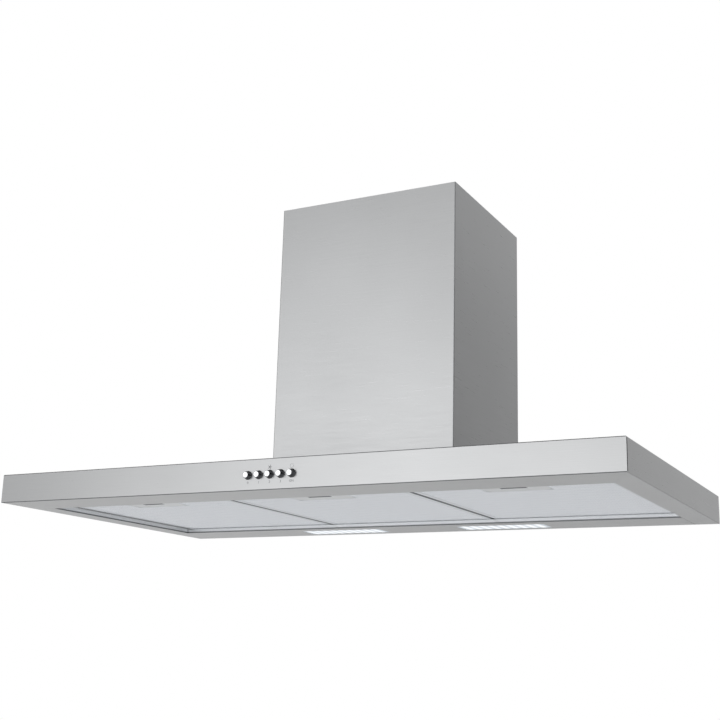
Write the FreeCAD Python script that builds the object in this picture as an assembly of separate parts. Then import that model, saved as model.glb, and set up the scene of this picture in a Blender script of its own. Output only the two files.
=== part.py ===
import FreeCAD, Part
import math
import os

# Wall-mounted chimney hood with a slim box canopy, three grease filters, two lamps and five buttons.
# Frame: +X to the right of someone facing the hood, +Y into the wall, +Z up. The origin is on the
# wall, on the centre line, level with the underside of the canopy. All lengths are millimetres.

V = FreeCAD.Vector
ALONG_X = V(1, 0, 0)
ALONG_Y = V(0, 1, 0)
ALONG_Z = V(0, 0, 1)

# Canopy: a folded tray of stainless sheet, open below
canopy_width = 898.0
canopy_depth = 490.0
canopy_height = 40.0
sheet = 0.8
bend_radius = 1.2
front_return = 73.0
side_return = 34.0
hem_height = 7.4
corner_gap = 1.2
mitre_gap = 0.4
intake_margin = 5.0
wall_fixing_spacing = 600.0
wall_fixing_height = 26.0
wall_fixing_radius = 3.0

# Lamp panel: the rear strip of the underside
lamp_panel_depth = 85.0
panel_gap = 0.4
panel_flange = 10.0
lamp_length = 140.0
lamp_width = 42.0
lamp_spacing_share = 0.303
lamp_place_share = 0.459
lens_clearance = 0.3
lens_rim = 2.5
lens_thickness = 1.5
housing_wall = 1.5
housing_height = 13.0
board_thickness = 1.6
board_margin = 4.0
led_size = 4.0
led_height = 0.8
led_count = 9
driver_length = 110.0
driver_width = 40.0
driver_height = 21.0
driver_from_end = 24.0
clip_width = 16.0
clip_sheet = 1.0
clip_hook = 2.5
clip_gap = 0.3

# Grease filters: expanded mesh in a folded frame, each with a sliding latch
filter_count = 3
filter_gap = 0.6
filter_side_gap = 4.3
filter_front_gap = 1.0
filter_below_hem = 0.4
filter_thickness = 9.0
filter_overlap = 10.0
filter_border = 12.0
filter_sheet = 0.6
lip_gap = 0.3
mesh_gap = 0.2
mesh_pitch = 68.0
mesh_row_pitch = 22.0
mesh_strand = 4.5
mesh_thickness = 3.0
mesh_margin = 5.0
latch_width = 86.0
latch_length = 55.0
latch_thickness = 5.0
latch_travel = 5.0
latch_clearance = 0.3
latch_corner = 10.0
latch_pocket = 4.0
finger_length = 46.0
finger_width = 16.0
finger_inset = 19.0
bolt_width = 30.0
bolt_thickness = 1.6
bolt_clearance = 0.1
tray_wall = 1.2

# Push buttons in the front, and the switch behind them
button_count = 5
button_pitch = 16.0
button_row_offset = -4.0
button_height = 19.4
button_radius = 5.3
button_face_radius = 3.9
button_proud = 7.0
button_edge = 2.6
button_skirt = 4.0
button_travel = 3.5
button_clearance = 0.4
stem_width = 6.0
stem_length = 9.0
stem_clearance = 0.3
switch_depth = 20.0
switch_height = 18.0
switch_margin = 10.0
switch_setback = 1.5
bracket_sheet = 1.2
bracket_ear = 14.0

# Chimney: a lower cover that stands on the canopy, and an upper one that slides out of it
chimney_width = 291.0
chimney_depth = 257.0
chimney_height = 437.5
chimney_return = 20.0
chimney_tab_length = 60.0
tab_clearance = 0.7
slide_gap = 0.7
upper_lift = 8.0
upper_top_inset = 1.5
vent_length = 90.0
vent_width = 4.0
vent_pitch = 11.0
vent_count = 5
vent_from_top = 60.0
bracket_height = 30.0
bracket_from_top = 8.0
bracket_plate = 1.5
bracket_return_gap = 6.0
bracket_step = 4.8
bracket_arm = 55.0
bracket_screw_inset = 12.0
bracket_hole_inset = 28.0
bracket_hole_radius = 3.0

# Motor box: galvanised sheet, hung on the wall bracket
box_side_gap = 9.7
box_front_gap = 10.2
box_height = 260.0
box_from_wall = 10.0
box_sheet = 1.0
box_flange = 15.0
hook_width = 24.0
hook_spacing = 150.0
hook_from_top = 50.0
hook_plate = 2.0
hook_lip = 9.0
hook_clearance = 0.5
wall_plate_gap = 15.5
wall_plate_height = 46.0
wall_screw_inset = 20.0
wall_screw_rise = 24.0
wall_screw_radius = 3.0

# Fan: a double-inlet wheel with forward-curved blades in a spiral housing
scroll_width = 140.0
scroll_wall = 2.0
scroll_growth_share = 1.35
scroll_rear_gap = 2.6
scroll_front_gap = 5.0
scroll_floor_gap = 5.3
scroll_arcs = 3
snap_shares = (1 / 6, 1 / 2, 5 / 6)
tongue_angle = 6.0
throat_flare = 20.0
inlet_overlap = 2.0
inlet_lip = 6.0
scroll_flange = 8.0
scroll_flange_thickness = 3.0
catch_width = 12.0
catch_length = 4.0
catch_height = 3.0
catch_root = 0.5
hook_arm = 2.0
hook_root = 5.0
hook_nose = 2.2
hook_play = 0.3
wheel_cutoff_gap = 8.8
wheel_side_gap = 5.0
blade_depth = 12.0
wheel_ring = 3.0
wheel_disc = 2.5
blade_count = 24
blade_thickness = 1.2
blade_sag = 1.9
blade_lead = 7.0
hub_radius = 10.0
hub_length = 22.0
shaft_radius = 4.0
shaft_play = 0.05
shaft_overhang = 2.25
motor_air_gap = 14.0
motor_disc_gap = 3.75
motor_bearing_wall = 12.0
motor_flange_reach = 6.0
motor_flange = 3.0
motor_end_step = 8.0
motor_end = 10.0
mount_clearance = 0.4
mount_ring_reach = 11.0
mount_plate = 3.0
mount_arm_width = 16.0
mount_arm_end = 7.0
mount_screw_gap = 5.0

# Outlet: a round spigot for the duct, with two flaps that fall shut
spigot_radius = 74.5
spigot_wall = 2.5
spigot_length = 42.0
spigot_flange = 12.0
spigot_flange_thickness = 2.0
spigot_edge_gap = 1.5
spigot_screw_share = 0.9
flap_height = 20.0
flap_thickness = 1.2
flap_edge_gap = 0.6
flap_from_pin = 5.2
flap_stop = 3.0
stop_width = 24.0
flap_stop_gap = 0.3
pin_radius = 2.5
pin_play = 0.1
pin_end_cover = 0.9
knuckle_radius = 4.4
knuckle_length = 20.0
knuckle_start = 5.0
knuckle_space = 5.0

# Wiring pieces
gland_bore = 4.0
gland_thread_radius = 8.0
gland_hex_radius = 12.0
gland_hex = 6.0
gland_cap_radius = 10.0
gland_cap = 9.0
gland_below = 9.0
gland_clearance = 0.3
terminal_width = 30.0
terminal_depth = 60.0
terminal_height = 64.0
terminal_wall = 2.0
terminal_from_wall = 15.0
terminal_block_height = 14.0
terminal_block_margin = 8.0
terminal_lift = 6.0
capacitor_width = 22.0
capacitor_depth = 32.0
capacitor_height = 46.0
capacitor_from_wall = 36.0
capacitor_foot = 6.0
capacitor_foot_thickness = 1.5

# Screws: one self-tapping size for the sheet-metal joints
screw_radius = 1.9
screw_head_radius = 3.9
screw_head = 2.4
screw_tip = 5.0
screw_hole_gap = 0.2

overrun = 5.0

# Places worked out from the sizes above
half_width = canopy_width / 2
front = -canopy_depth
opening_half = half_width - side_return
opening_front = front + front_return
lamp_front = -lamp_panel_depth
top_inside = canopy_height - sheet
filter_lift = hem_height - filter_below_hem
filter_width = (2 * (opening_half - filter_side_gap) - (filter_count - 1) * filter_gap) / filter_count
filter_front = opening_front + filter_front_gap
filter_rear = lamp_front + filter_overlap
filter_top = filter_lift + filter_thickness
hinge_y = lamp_front + sheet / 2
hinge_z = filter_lift - lip_gap - sheet / 2
chimney_half = chimney_width / 2
chimney_top = canopy_height + chimney_height
upper_half = chimney_half - sheet - slide_gap
upper_front = -chimney_depth + sheet + slide_gap
upper_rear = -sheet - slide_gap
upper_bottom = canopy_height + upper_lift
upper_top = chimney_top - upper_top_inset
box_width = chimney_width - 2 * (sheet + box_side_gap)
box_depth = chimney_depth - sheet - box_front_gap - box_from_wall
box_half = box_width / 2
box_rear = -box_from_wall
box_front = box_rear - box_depth
box_top = canopy_height + box_height
box_ceiling = box_top - box_sheet
hook_height = box_top - hook_from_top
wall_plate_width = chimney_width - 2 * (chimney_return + wall_plate_gap)
wall_screw_spacing = wall_plate_width - 2 * wall_screw_inset
bracket_half_width = upper_half - chimney_return - bracket_return_gap
bracket_hole_spacing = 2 * (bracket_half_width - bracket_hole_inset)
chimney_tab = box_side_gap - tab_clearance

# Fan: the spiral fills the depth of the box, and the wheel, inlets and motor follow from the spiral
scroll_rear_share = scroll_growth_share ** (1 / 3)
scroll_bottom_share = scroll_growth_share ** (2 / 3)
scroll_room = box_depth - 2 * box_sheet - scroll_rear_gap - scroll_front_gap
spiral_room = scroll_room - scroll_wall - throat_flare - scroll_flange
scroll_start_radius = spiral_room / (scroll_rear_share + scroll_growth_share)
scroll_end_radius = scroll_start_radius * scroll_growth_share
fan_y = box_rear - box_sheet - scroll_rear_gap - scroll_wall - scroll_start_radius * scroll_rear_share
fan_z = canopy_height + scroll_floor_gap + scroll_wall + scroll_start_radius * scroll_bottom_share
wheel_radius = scroll_start_radius - wheel_cutoff_gap - blade_thickness
wheel_inner_radius = wheel_radius - blade_depth
wheel_width = scroll_width - 2 * (scroll_wall + inlet_lip + wheel_side_gap)
inlet_radius = wheel_inner_radius + inlet_overlap
scroll_half = scroll_width / 2
motor_radius = wheel_inner_radius - motor_air_gap
motor_length = scroll_half + mount_plate - wheel_disc / 2 - motor_disc_gap
shaft_in_motor = motor_length - motor_bearing_wall
shaft_length = shaft_in_motor + motor_disc_gap + hub_length + shaft_overhang
mount_screw_circle = inlet_radius + scroll_wall + mount_screw_gap
throat_front = fan_y - scroll_end_radius
spigot_y = box_front + spigot_edge_gap + spigot_flange + spigot_radius
duct_bore = spigot_radius - spigot_wall
air_way_half = scroll_half - scroll_wall
pin_z = box_top + spigot_flange_thickness + flap_height
terminal_x = box_half - box_sheet - terminal_width / 2
terminal_y = -terminal_from_wall - terminal_depth / 2
capacitor_y = -capacitor_from_wall
lamp_spacing = lamp_spacing_share * canopy_width
lamp_from_wall = lamp_place_share * lamp_panel_depth
button_xs = [button_row_offset + button_pitch * (i - (button_count - 1) / 2) for i in range(button_count)]
filter_names = ["left", "centre", "right"][:filter_count]
filter_xs = [(filter_width + filter_gap) * (i - (filter_count - 1) / 2) for i in range(filter_count)]


def block(x0, x1, y0, y1, z0, z1):
    """A rectangular solid between two limits on each axis."""
    return Part.makeBox(x1 - x0, y1 - y0, z1 - z0, V(x0, y0, z0))


def rod(radius, length, start, axis):
    """A round solid from a start point along an axis."""
    return Part.makeCylinder(radius, length, start, axis)


def tube(outer, inner, length, start, axis):
    """A round pipe from a start point along an axis."""
    wall = rod(outer, length, start, axis)
    return wall.cut(rod(inner, length + 2 * overrun, start - axis * overrun, axis))


def prism(points, direction):
    """A closed outline of points pushed along a direction."""
    wire = Part.makePolygon(points + [points[0]])
    return Part.Face(wire).extrude(direction)


def hexagon(radius, height, start, axis, across):
    """A hexagonal solid, with one corner towards the direction named across."""
    side = axis.cross(across)
    turns = [math.radians(60 * i) for i in range(6)]
    corners = [start + across * (radius * math.cos(t)) + side * (radius * math.sin(t)) for t in turns]
    return prism(corners, axis * height)


def first_corner(axis):
    """Which way a screw's first corner points."""
    return ALONG_X if abs(axis.z) > abs(axis.x) else ALONG_Z


def screw(seat, axis, grip):
    """A hex-head screw on its seat, with a plain six-sided shank in place of its round threaded one."""
    head = hexagon(screw_head_radius, screw_head, seat, axis, first_corner(axis))
    return head.fuse(hexagon(screw_radius, grip, seat - axis * grip, axis, first_corner(axis)))


def screw_hole(seat, axis):
    """The hole that a screw's shank passes through, long enough for the thin sheets it joins."""
    reach = screw_tip + overrun
    return hexagon(screw_radius + screw_hole_gap, 2 * reach, seat - axis * reach, axis, first_corner(axis))


def round_edges(solid, radius, wanted):
    """Round the straight edges whose middle point the test picks."""
    edges = [e for e in solid.Edges if wanted(e.CenterOfMass, e)]
    return solid.makeFillet(radius, edges)


def runs_along(edge, axis):
    """Whether a straight edge runs along an axis."""
    a, b = edge.Vertexes[0].Point, edge.Vertexes[-1].Point
    return (b - a).cross(axis).Length < (b - a).Length / 2


def mirrored(shape):
    """The same shape on the other side of the centre line."""
    return shape.mirror(V(0, 0, 0), ALONG_X)


def group(shapes):
    """Several separate solids of one kind."""
    return Part.makeCompound(shapes)


# Screw places that two or more pieces share
flange_middle = box_flange / 2
box_screw_places = [
    (side * (box_half - flange_middle), y)
    for side in (-1, 1)
    for y in (box_front + flange_middle, box_rear - flange_middle)
]
tab_screw_x = chimney_half - sheet - chimney_tab / 2
tab_y = -chimney_depth / 2
switch_half = button_pitch * (button_count - 1) / 2 + switch_margin
switch_front = front + sheet + switch_setback + button_skirt
switch_rear = switch_front + switch_depth
driver_y = -lamp_from_wall
driver_x = driver_from_end + driver_length / 2 - (opening_half - panel_gap)
spigot_screw_places = [
    V(side * (scroll_half + scroll_flange / 2), spigot_y + side * spigot_screw_share * spigot_radius,
      box_top + spigot_flange_thickness)
    for side in (-1, 1)
]
arm_screw_z = upper_top - bracket_from_top - bracket_height / 2
arm_screw_y = upper_rear - sheet - bracket_step - bracket_arm + bracket_screw_inset
gland_place = V(terminal_x, terminal_y, box_top)


def rounded_tray(inset):
    """The canopy's outer or inner form: a box with its folded edges rounded."""
    x, y0, y1 = half_width - inset, front + inset, -inset
    solid = block(-x, x, y0, y1, inset, canopy_height - inset)
    lowest_rear = y1 - bend_radius

    def folded(centre, edge):
        if runs_along(edge, ALONG_Z):
            return False
        return centre.z > canopy_height / 2 or centre.y < lowest_rear

    return round_edges(solid, bend_radius - inset, folded)


def canopy_shell():
    """The folded canopy with its returns, hems, seams and holes."""
    shell = rounded_tray(0).cut(rounded_tray(sheet))
    shell = shell.cut(block(-opening_half, opening_half, opening_front, -sheet, -overrun, sheet + overrun))
    hem_outside = opening_half + sheet
    hem_front = opening_front - sheet
    front_hem = block(-hem_outside, hem_outside, hem_front, opening_front, 0, hem_height)
    side_hem = block(opening_half, hem_outside, hem_front, -sheet, 0, hem_height)
    shell = shell.multiFuse([front_hem, side_hem, mirrored(side_hem)])
    # Open seam where the side wall ends behind the front wall
    seam_y = front + sheet
    seam = block(half_width - sheet, half_width + overrun, seam_y, seam_y + corner_gap,
                 bend_radius, canopy_height - bend_radius)
    # Mitre between the front and side returns on the underside
    inner = V(hem_outside, hem_front, -overrun)
    outer = V(half_width - bend_radius, front + bend_radius, -overrun)
    across = (outer - inner).cross(ALONG_Z).normalize() * (mitre_gap / 2)
    mitre = prism([inner - across, outer - across, outer + across, inner + across],
                  V(0, 0, overrun + sheet))
    cuts = [seam, mirrored(seam), mitre, mirrored(mitre)]
    inset = box_flange + intake_margin
    cuts.append(block(inset - box_half, box_half - inset, box_front + inset, box_rear - inset,
                      top_inside - overrun, canopy_height + overrun))
    for x in button_xs:
        cuts.append(rod(button_radius + button_clearance, sheet + 2 * overrun,
                        V(x, front - overrun, button_height), ALONG_Y))
    for x, y in box_screw_places:
        cuts.append(screw_hole(V(x, y, top_inside), ALONG_Z))
    for side in (-1, 1):
        cuts.append(screw_hole(V(side * tab_screw_x, tab_y, top_inside), ALONG_Z))
        cuts.append(rod(wall_fixing_radius, sheet + 2 * overrun,
                        V(side * wall_fixing_spacing / 2, -sheet - overrun, wall_fixing_height), ALONG_Y))
    return shell.cut(group(cuts))


def lamp_panel():
    """Rear strip with a rolled lip, upturned ends, a rear flange, and clips for the driver."""
    half = opening_half - panel_gap
    rear = -sheet
    plate = block(-half, half, lamp_front, rear, 0, sheet)
    lip = block(-half, half, lamp_front, lamp_front + sheet, 0, hinge_z)
    roll = rod(sheet / 2, 2 * half, V(-half, hinge_y, hinge_z), ALONG_X)
    rear_flange = block(-half, half, rear - sheet, rear, 0, panel_flange)
    end_start = lamp_front + 2 * sheet
    end_flange = block(half - sheet, half, end_start, rear, 0, panel_flange)
    clips = []
    clip_y0, clip_y1 = driver_y - clip_width / 2, driver_y + clip_width / 2
    hook_bottom = sheet + driver_height + clip_gap
    for side in (-1, 1):
        near = driver_x + side * (driver_length / 2 + clip_gap)
        xs = sorted([near, near + side * clip_sheet])
        clips.append(block(xs[0], xs[1], clip_y0, clip_y1, 0, hook_bottom + clip_sheet))
        xs = sorted([near - side * clip_hook, near + side * clip_sheet])
        clips.append(block(xs[0], xs[1], clip_y0, clip_y1, hook_bottom, hook_bottom + clip_sheet))
    panel = plate.multiFuse([lip, roll, rear_flange, end_flange, mirrored(end_flange)] + clips)
    cuts = []
    for side in (-1, 1):
        x = side * lamp_spacing / 2
        cuts.append(block(x - lamp_length / 2, x + lamp_length / 2, -lamp_from_wall - lamp_width / 2,
                          -lamp_from_wall + lamp_width / 2, -overrun, sheet + overrun))
    return panel.cut(group(cuts))


def lamp_box(x, extra, z0, z1):
    """A block over a lamp's cut-out, larger than it by extra on each side."""
    return block(x - lamp_length / 2 - extra, x + lamp_length / 2 + extra,
                 -lamp_from_wall - lamp_width / 2 - extra, -lamp_from_wall + lamp_width / 2 + extra, z0, z1)


def lamp_lens(x):
    """Frosted cover that fills the cut-out and rests on the panel by its rim."""
    window = lamp_box(x, -lens_clearance, 0, sheet)
    return window.fuse(lamp_box(x, lens_rim, sheet, sheet + lens_thickness))


def lamp_housing(x):
    """Moulded cap over the lens that holds the lamp board."""
    outside = lamp_box(x, lens_rim + lens_clearance + housing_wall, sheet, sheet + housing_height)
    inside = lamp_box(x, lens_rim + lens_clearance, 0, sheet + housing_height - housing_wall)
    return outside.cut(inside)


def led_board(x):
    """Lamp board under the roof of the housing, with a row of emitters."""
    roof = sheet + housing_height - housing_wall
    low = roof - board_thickness
    board = lamp_box(x, -board_margin, low, roof)
    reach = lamp_length - 2 * board_margin
    row = []
    for i in range(led_count):
        led_x = x + reach * ((i + 0.5) / led_count - 0.5)
        row.append(block(led_x - led_size / 2, led_x + led_size / 2, -lamp_from_wall - led_size / 2,
                         -lamp_from_wall + led_size / 2, low - led_height, low))
    return board.multiFuse(row)


def led_driver():
    """Power supply of the lamps, snapped between two clips of the lamp panel."""
    return block(driver_x - driver_length / 2, driver_x + driver_length / 2, driver_y - driver_width / 2,
                 driver_y + driver_width / 2, sheet, sheet + driver_height)


# Latch and its tray, from the filter's front edge backwards
tray_front = filter_front + filter_border
latch_front = tray_front + latch_clearance + latch_travel
latch_rear = latch_front + latch_length
tray_rear = latch_rear + latch_clearance
tray_half = latch_width / 2 + latch_clearance
tray_ceiling = filter_lift + latch_thickness + latch_clearance
bolt_bottom = filter_lift + filter_sheet + bolt_clearance
bolt_top = bolt_bottom + bolt_thickness


def tongue_slot(x):
    """The way of the latch's tongue through the front of the tray and the frame."""
    half = bolt_width / 2 + latch_clearance
    return block(x - half, x + half, filter_front - overrun, tray_front + overrun,
                 filter_lift + filter_sheet, bolt_top + latch_clearance)


def filter_frame(x):
    """Folded channel round the mesh, open inwards."""
    half = filter_width / 2
    outside = block(x - half, x + half, filter_front, filter_rear, filter_lift, filter_top)
    window = block(x - half + filter_border, x + half - filter_border, filter_front + filter_border,
                   filter_rear - filter_border, filter_lift - overrun, filter_top + overrun)
    channel = block(x - half + filter_sheet, x + half - filter_sheet, filter_front + filter_sheet,
                    filter_rear - filter_sheet, filter_lift + filter_sheet, filter_top - filter_sheet)
    return outside.cut(window).cut(channel).cut(tongue_slot(x))


def filter_tray(x):
    """Pressed tray for the latch, with its front wall standing on the frame."""
    half = tray_half + tray_wall
    outside = block(x - half, x + half, tray_front - tray_wall, tray_rear + tray_wall, filter_lift,
                    tray_ceiling + tray_wall)
    pocket = block(x - tray_half, x + tray_half, tray_front, tray_rear, filter_lift - overrun, tray_ceiling)
    frame_edge = block(x - half - overrun, x + half + overrun, filter_front, filter_front + filter_border,
                       filter_lift - overrun, filter_lift + filter_sheet)
    return outside.cut(pocket).cut(frame_edge).cut(tongue_slot(x))


def mesh_panel(x0, x1, y0, y1, z0, z1):
    """One cut panel of expanded mesh, drawn with coarse diamond openings inside a plain margin."""
    slab = block(x0, x1, y0, y1, z0, z1)
    margin = filter_border + mesh_margin
    long, short = mesh_pitch / 2, mesh_row_pitch
    open_share = 1 - mesh_strand * math.hypot(long, short) / (2 * long * short)
    half_long, half_short = open_share * long, open_share * short
    reach_x, reach_y = (x1 - x0) / 2 - margin - half_long, (y1 - y0) / 2 - margin - half_short
    rows = int(2 * reach_y / mesh_row_pitch) + 1
    holes = []
    for row in range(rows):
        y = (y0 + y1) / 2 + mesh_row_pitch * (row - (rows - 1) / 2)
        count = int((2 * reach_x - mesh_pitch * (row % 2)) / mesh_pitch) + 1
        for i in range(count):
            x = (x0 + x1) / 2 + mesh_pitch * (i - (count - 1) / 2)
            corners = [V(x - half_long, y, z0 - overrun), V(x, y - half_short, z0 - overrun),
                       V(x + half_long, y, z0 - overrun), V(x, y + half_short, z0 - overrun)]
            holes.append(prism(corners, V(0, 0, z1 - z0 + 2 * overrun)))
    return slab.cut(group(holes))


def filter_mesh(x):
    """Expanded aluminium mesh, cut as three panels that lie round the latch's tray."""
    half = filter_width / 2 - filter_sheet - mesh_gap
    y0 = filter_front + filter_sheet + mesh_gap
    y1 = filter_rear - filter_sheet - mesh_gap
    z0 = filter_lift + filter_sheet + mesh_gap
    z1 = z0 + mesh_thickness
    beside = tray_half + tray_wall + mesh_gap
    behind = tray_rear + tray_wall + mesh_gap
    return group([mesh_panel(x - half, x + half, behind, y1, z0, z1),
                  mesh_panel(x - half, x - beside, y0, behind - mesh_gap, z0, z1),
                  mesh_panel(x + beside, x + half, y0, behind - mesh_gap, z0, z1)])


def filter_latch(x):
    """Sliding latch drawn back: a plate with a finger slot, and a bolt that reaches over the front hem."""
    plate = block(x - latch_width / 2, x + latch_width / 2, latch_front, latch_rear, filter_lift,
                  filter_lift + latch_thickness)
    plate = round_edges(plate, latch_corner,
                        lambda centre, edge: runs_along(edge, ALONG_Z) and centre.y > latch_front)
    slot_rear = latch_rear - finger_inset
    slot = block(x - finger_length / 2, x + finger_length / 2, slot_rear - finger_width, slot_rear,
                 filter_lift - overrun, filter_lift + latch_pocket)
    bolt = block(x - bolt_width / 2, x + bolt_width / 2, filter_front, latch_front, bolt_bottom, bolt_top)
    return plate.cut(slot).fuse(bolt)


def button(x):
    """Turned push button: a tapered cap with a flat end face, and a square stem into the switch."""
    face = front - button_proud
    skirt = front + sheet + button_skirt
    stem_end = skirt + stem_length
    cone = face + button_edge
    outline = [V(0, face, 0), V(button_face_radius, face, 0), V(button_radius, cone, 0),
               V(button_radius, skirt, 0), V(0, skirt, 0)]
    half = Part.Face(Part.makePolygon(outline + [outline[0]]))
    cap = half.revolve(V(0, 0, 0), ALONG_Y, 360)
    stem = block(-stem_width / 2, stem_width / 2, skirt, stem_end, -stem_width / 2, stem_width / 2)
    solid = cap.fuse(stem)
    solid.translate(V(x, 0, button_height))
    return solid


def switch_block():
    """Moulded five-way switch with a square way for each stem."""
    z0 = button_height - switch_height / 2
    x0 = button_row_offset
    front_face = switch_front + button_travel
    body = block(x0 - switch_half, x0 + switch_half, front_face, switch_rear, z0, z0 + switch_height)
    reach = stem_width / 2 + stem_clearance
    ways = [block(x - reach, x + reach, front_face - overrun, front_face + stem_length,
                  button_height - reach, button_height + reach) for x in button_xs]
    return body.cut(group(ways))


def switch_bracket():
    """Folded bracket that holds the switch, with ears spot-welded under the canopy's top."""
    z0 = button_height - switch_height / 2
    x0 = button_row_offset
    half = switch_half + bracket_sheet
    front_face = switch_front + button_travel
    outside = block(x0 - half, x0 + half, front_face, switch_rear + bracket_sheet,
                    z0 - bracket_sheet, top_inside)
    inside = block(x0 - switch_half, x0 + switch_half, front_face - overrun, switch_rear, z0,
                   top_inside - bracket_sheet)
    body = outside.cut(inside)
    ear_half = switch_half + bracket_ear
    middle = (switch_front + switch_rear) / 2
    ears = block(x0 - ear_half, x0 + ear_half, middle - bracket_ear / 2, middle + bracket_ear / 2,
                 top_inside - bracket_sheet, top_inside)
    return body.fuse(ears)


def chimney_cover(half, y_front, y_rear, z0, z1):
    """A folded cover on three sides, with returns on both sides of its open back."""
    outside = block(-half, half, y_front, y_rear, z0, z1)
    inside = block(-half + sheet, half - sheet, y_front + sheet, y_rear - sheet, z0 - overrun, z1 + overrun)

    def corner(centre, edge):
        return runs_along(edge, ALONG_Z) and centre.y < (y_front + y_rear) / 2

    outside = round_edges(outside, bend_radius, corner)
    inside = round_edges(inside, bend_radius - sheet, corner)
    gap = half - chimney_return
    back = block(-gap, gap, y_rear - sheet - overrun, y_rear + overrun, z0 - overrun, z1 + overrun)
    return outside.cut(inside).cut(back)


def lower_chimney():
    """The cover that shows, with two tabs that are screwed down to the canopy."""
    cover = chimney_cover(chimney_half, -chimney_depth, 0, canopy_height, chimney_top)
    inner = chimney_half - sheet
    tab = block(inner - chimney_tab, inner, tab_y - chimney_tab_length / 2, tab_y + chimney_tab_length / 2,
                canopy_height, canopy_height + sheet)
    tab = tab.cut(screw_hole(V(tab_screw_x, tab_y, canopy_height), ALONG_Z))
    return cover.multiFuse([tab, mirrored(tab)])


def upper_chimney():
    """The sliding cover, with air slots near the top of its sides."""
    cover = chimney_cover(upper_half, upper_front, upper_rear, upper_bottom, upper_top)
    cuts = []
    middle = (upper_front + upper_rear) / 2
    for i in range(vent_count):
        z = upper_top - vent_from_top - i * vent_pitch
        cuts.append(block(-upper_half - overrun, upper_half + overrun, middle - vent_length / 2,
                          middle + vent_length / 2, z - vent_width, z))
    for side in (-1, 1):
        cuts.append(screw_hole(V(side * upper_half, arm_screw_y, arm_screw_z), ALONG_X))
    return cover.cut(group(cuts))


def chimney_bracket():
    """Bent strip on the wall that the upper cover is screwed to."""
    outer = upper_half - sheet
    inner = outer - bracket_plate
    step_rear = upper_rear - sheet - bracket_step + bracket_plate
    step_front = step_rear - bracket_plate
    arm_end = step_front - bracket_arm
    w, p = bracket_half_width, bracket_plate
    right = [(w, 0), (w, step_rear), (outer, step_rear), (outer, arm_end), (inner, arm_end),
             (inner, step_front), (w - p, step_front), (w - p, -p)]
    low = upper_top - bracket_from_top - bracket_height
    points = [V(x, y, low) for x, y in right] + [V(-x, y, low) for x, y in reversed(right)]
    strip = prism(points, V(0, 0, bracket_height))
    holes = []
    for side in (-1, 1):
        holes.append(rod(bracket_hole_radius, p + 2 * overrun,
                         V(side * bracket_hole_spacing / 2, -p - overrun, low + bracket_height / 2), ALONG_Y))
        holes.append(screw_hole(V(side * upper_half, arm_screw_y, arm_screw_z), ALONG_X))
    return strip.cut(group(holes))


def bracket_screws():
    """Screws from inside the bracket's arms into the upper cover."""
    inner = upper_half - sheet - bracket_plate
    made = screw(V(inner, arm_screw_y, arm_screw_z), ALONG_X * -1, bracket_plate + sheet)
    return group([made, mirrored(made)])


def chimney_screws():
    """Screws from inside the canopy up into the tabs of the lower cover."""
    made = screw(V(tab_screw_x, tab_y, top_inside), ALONG_Z * -1, screw_tip)
    return group([made, mirrored(made)])


def box_outline():
    """The motor box as one hollow form, with its mouth below and all its holes."""
    outside = block(-box_half, box_half, box_front, box_rear, canopy_height, box_top)
    inside = block(-box_half + box_sheet, box_half - box_sheet, box_front + box_sheet, box_rear - box_sheet,
                   canopy_height + box_sheet, box_ceiling)
    mouth = block(-box_half + box_flange, box_half - box_flange, box_front + box_flange,
                  box_rear - box_flange, canopy_height - overrun, canopy_height + box_sheet + overrun)
    cuts = [mouth]
    for x, y in box_screw_places:
        cuts.append(screw_hole(V(x, y, canopy_height), ALONG_Z))
    cuts.append(block(-air_way_half, air_way_half, spigot_y - duct_bore, spigot_y + duct_bore,
                      box_ceiling - overrun, box_top + overrun))
    cuts.append(rod(gland_thread_radius + gland_clearance, 2 * overrun,
                    gland_place - ALONG_Z * (box_sheet + overrun), ALONG_Z))
    for place in spigot_screw_places:
        cuts.append(screw_hole(place, ALONG_Z))
    slot_half = hook_width / 2 + hook_clearance
    for side in (-1, 1):
        x = side * hook_spacing / 2
        cuts.append(block(x - slot_half, x + slot_half, box_rear - box_sheet - overrun, box_rear + overrun,
                          hook_height - hook_plate - hook_clearance, hook_height + hook_lip + hook_clearance))
    return outside.cut(inside).cut(group(cuts))


def box_slice(y0, z0, z1):
    """What one straight panel takes of the motor box, from a front limit to the back."""
    return box_outline().common(block(-box_half, box_half, y0, box_rear, z0, z1))


def motor_box_top():
    """Top of the motor box: four strips welded round a square way for the air."""
    top = box_slice(box_front, box_ceiling, box_top)
    strips = []
    for x0, x1, y0, y1 in ((-box_half, -air_way_half, box_front, box_rear),
                           (air_way_half, box_half, box_front, box_rear),
                           (-air_way_half, air_way_half, box_front, spigot_y),
                           (-air_way_half, air_way_half, spigot_y, box_rear)):
        strips.append(top.common(block(x0, x1, y0, y1, box_ceiling, box_top)))
    return group(strips)


def motor_box_back():
    """Back panel of the motor box, with its lower flange folded forwards and two slots for the hooks."""
    back = box_slice(box_rear - box_sheet, canopy_height, box_ceiling)
    flange = box_slice(box_rear - box_flange, canopy_height, canopy_height + box_sheet)
    side = box_half - box_sheet
    return back.fuse(flange.common(block(-side, side, box_front, box_rear, canopy_height, box_top)))


def motor_box():
    """Galvanised wrap, the front and sides of the motor box, with an inward flange below."""
    return box_outline().cut(box_slice(box_front, box_ceiling, box_top)).cut(motor_box_back())


def box_screws():
    """Screws from inside the canopy up into the flange of the motor box."""
    return group([screw(V(x, y, top_inside), ALONG_Z * -1, screw_tip) for x, y in box_screw_places])


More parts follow.
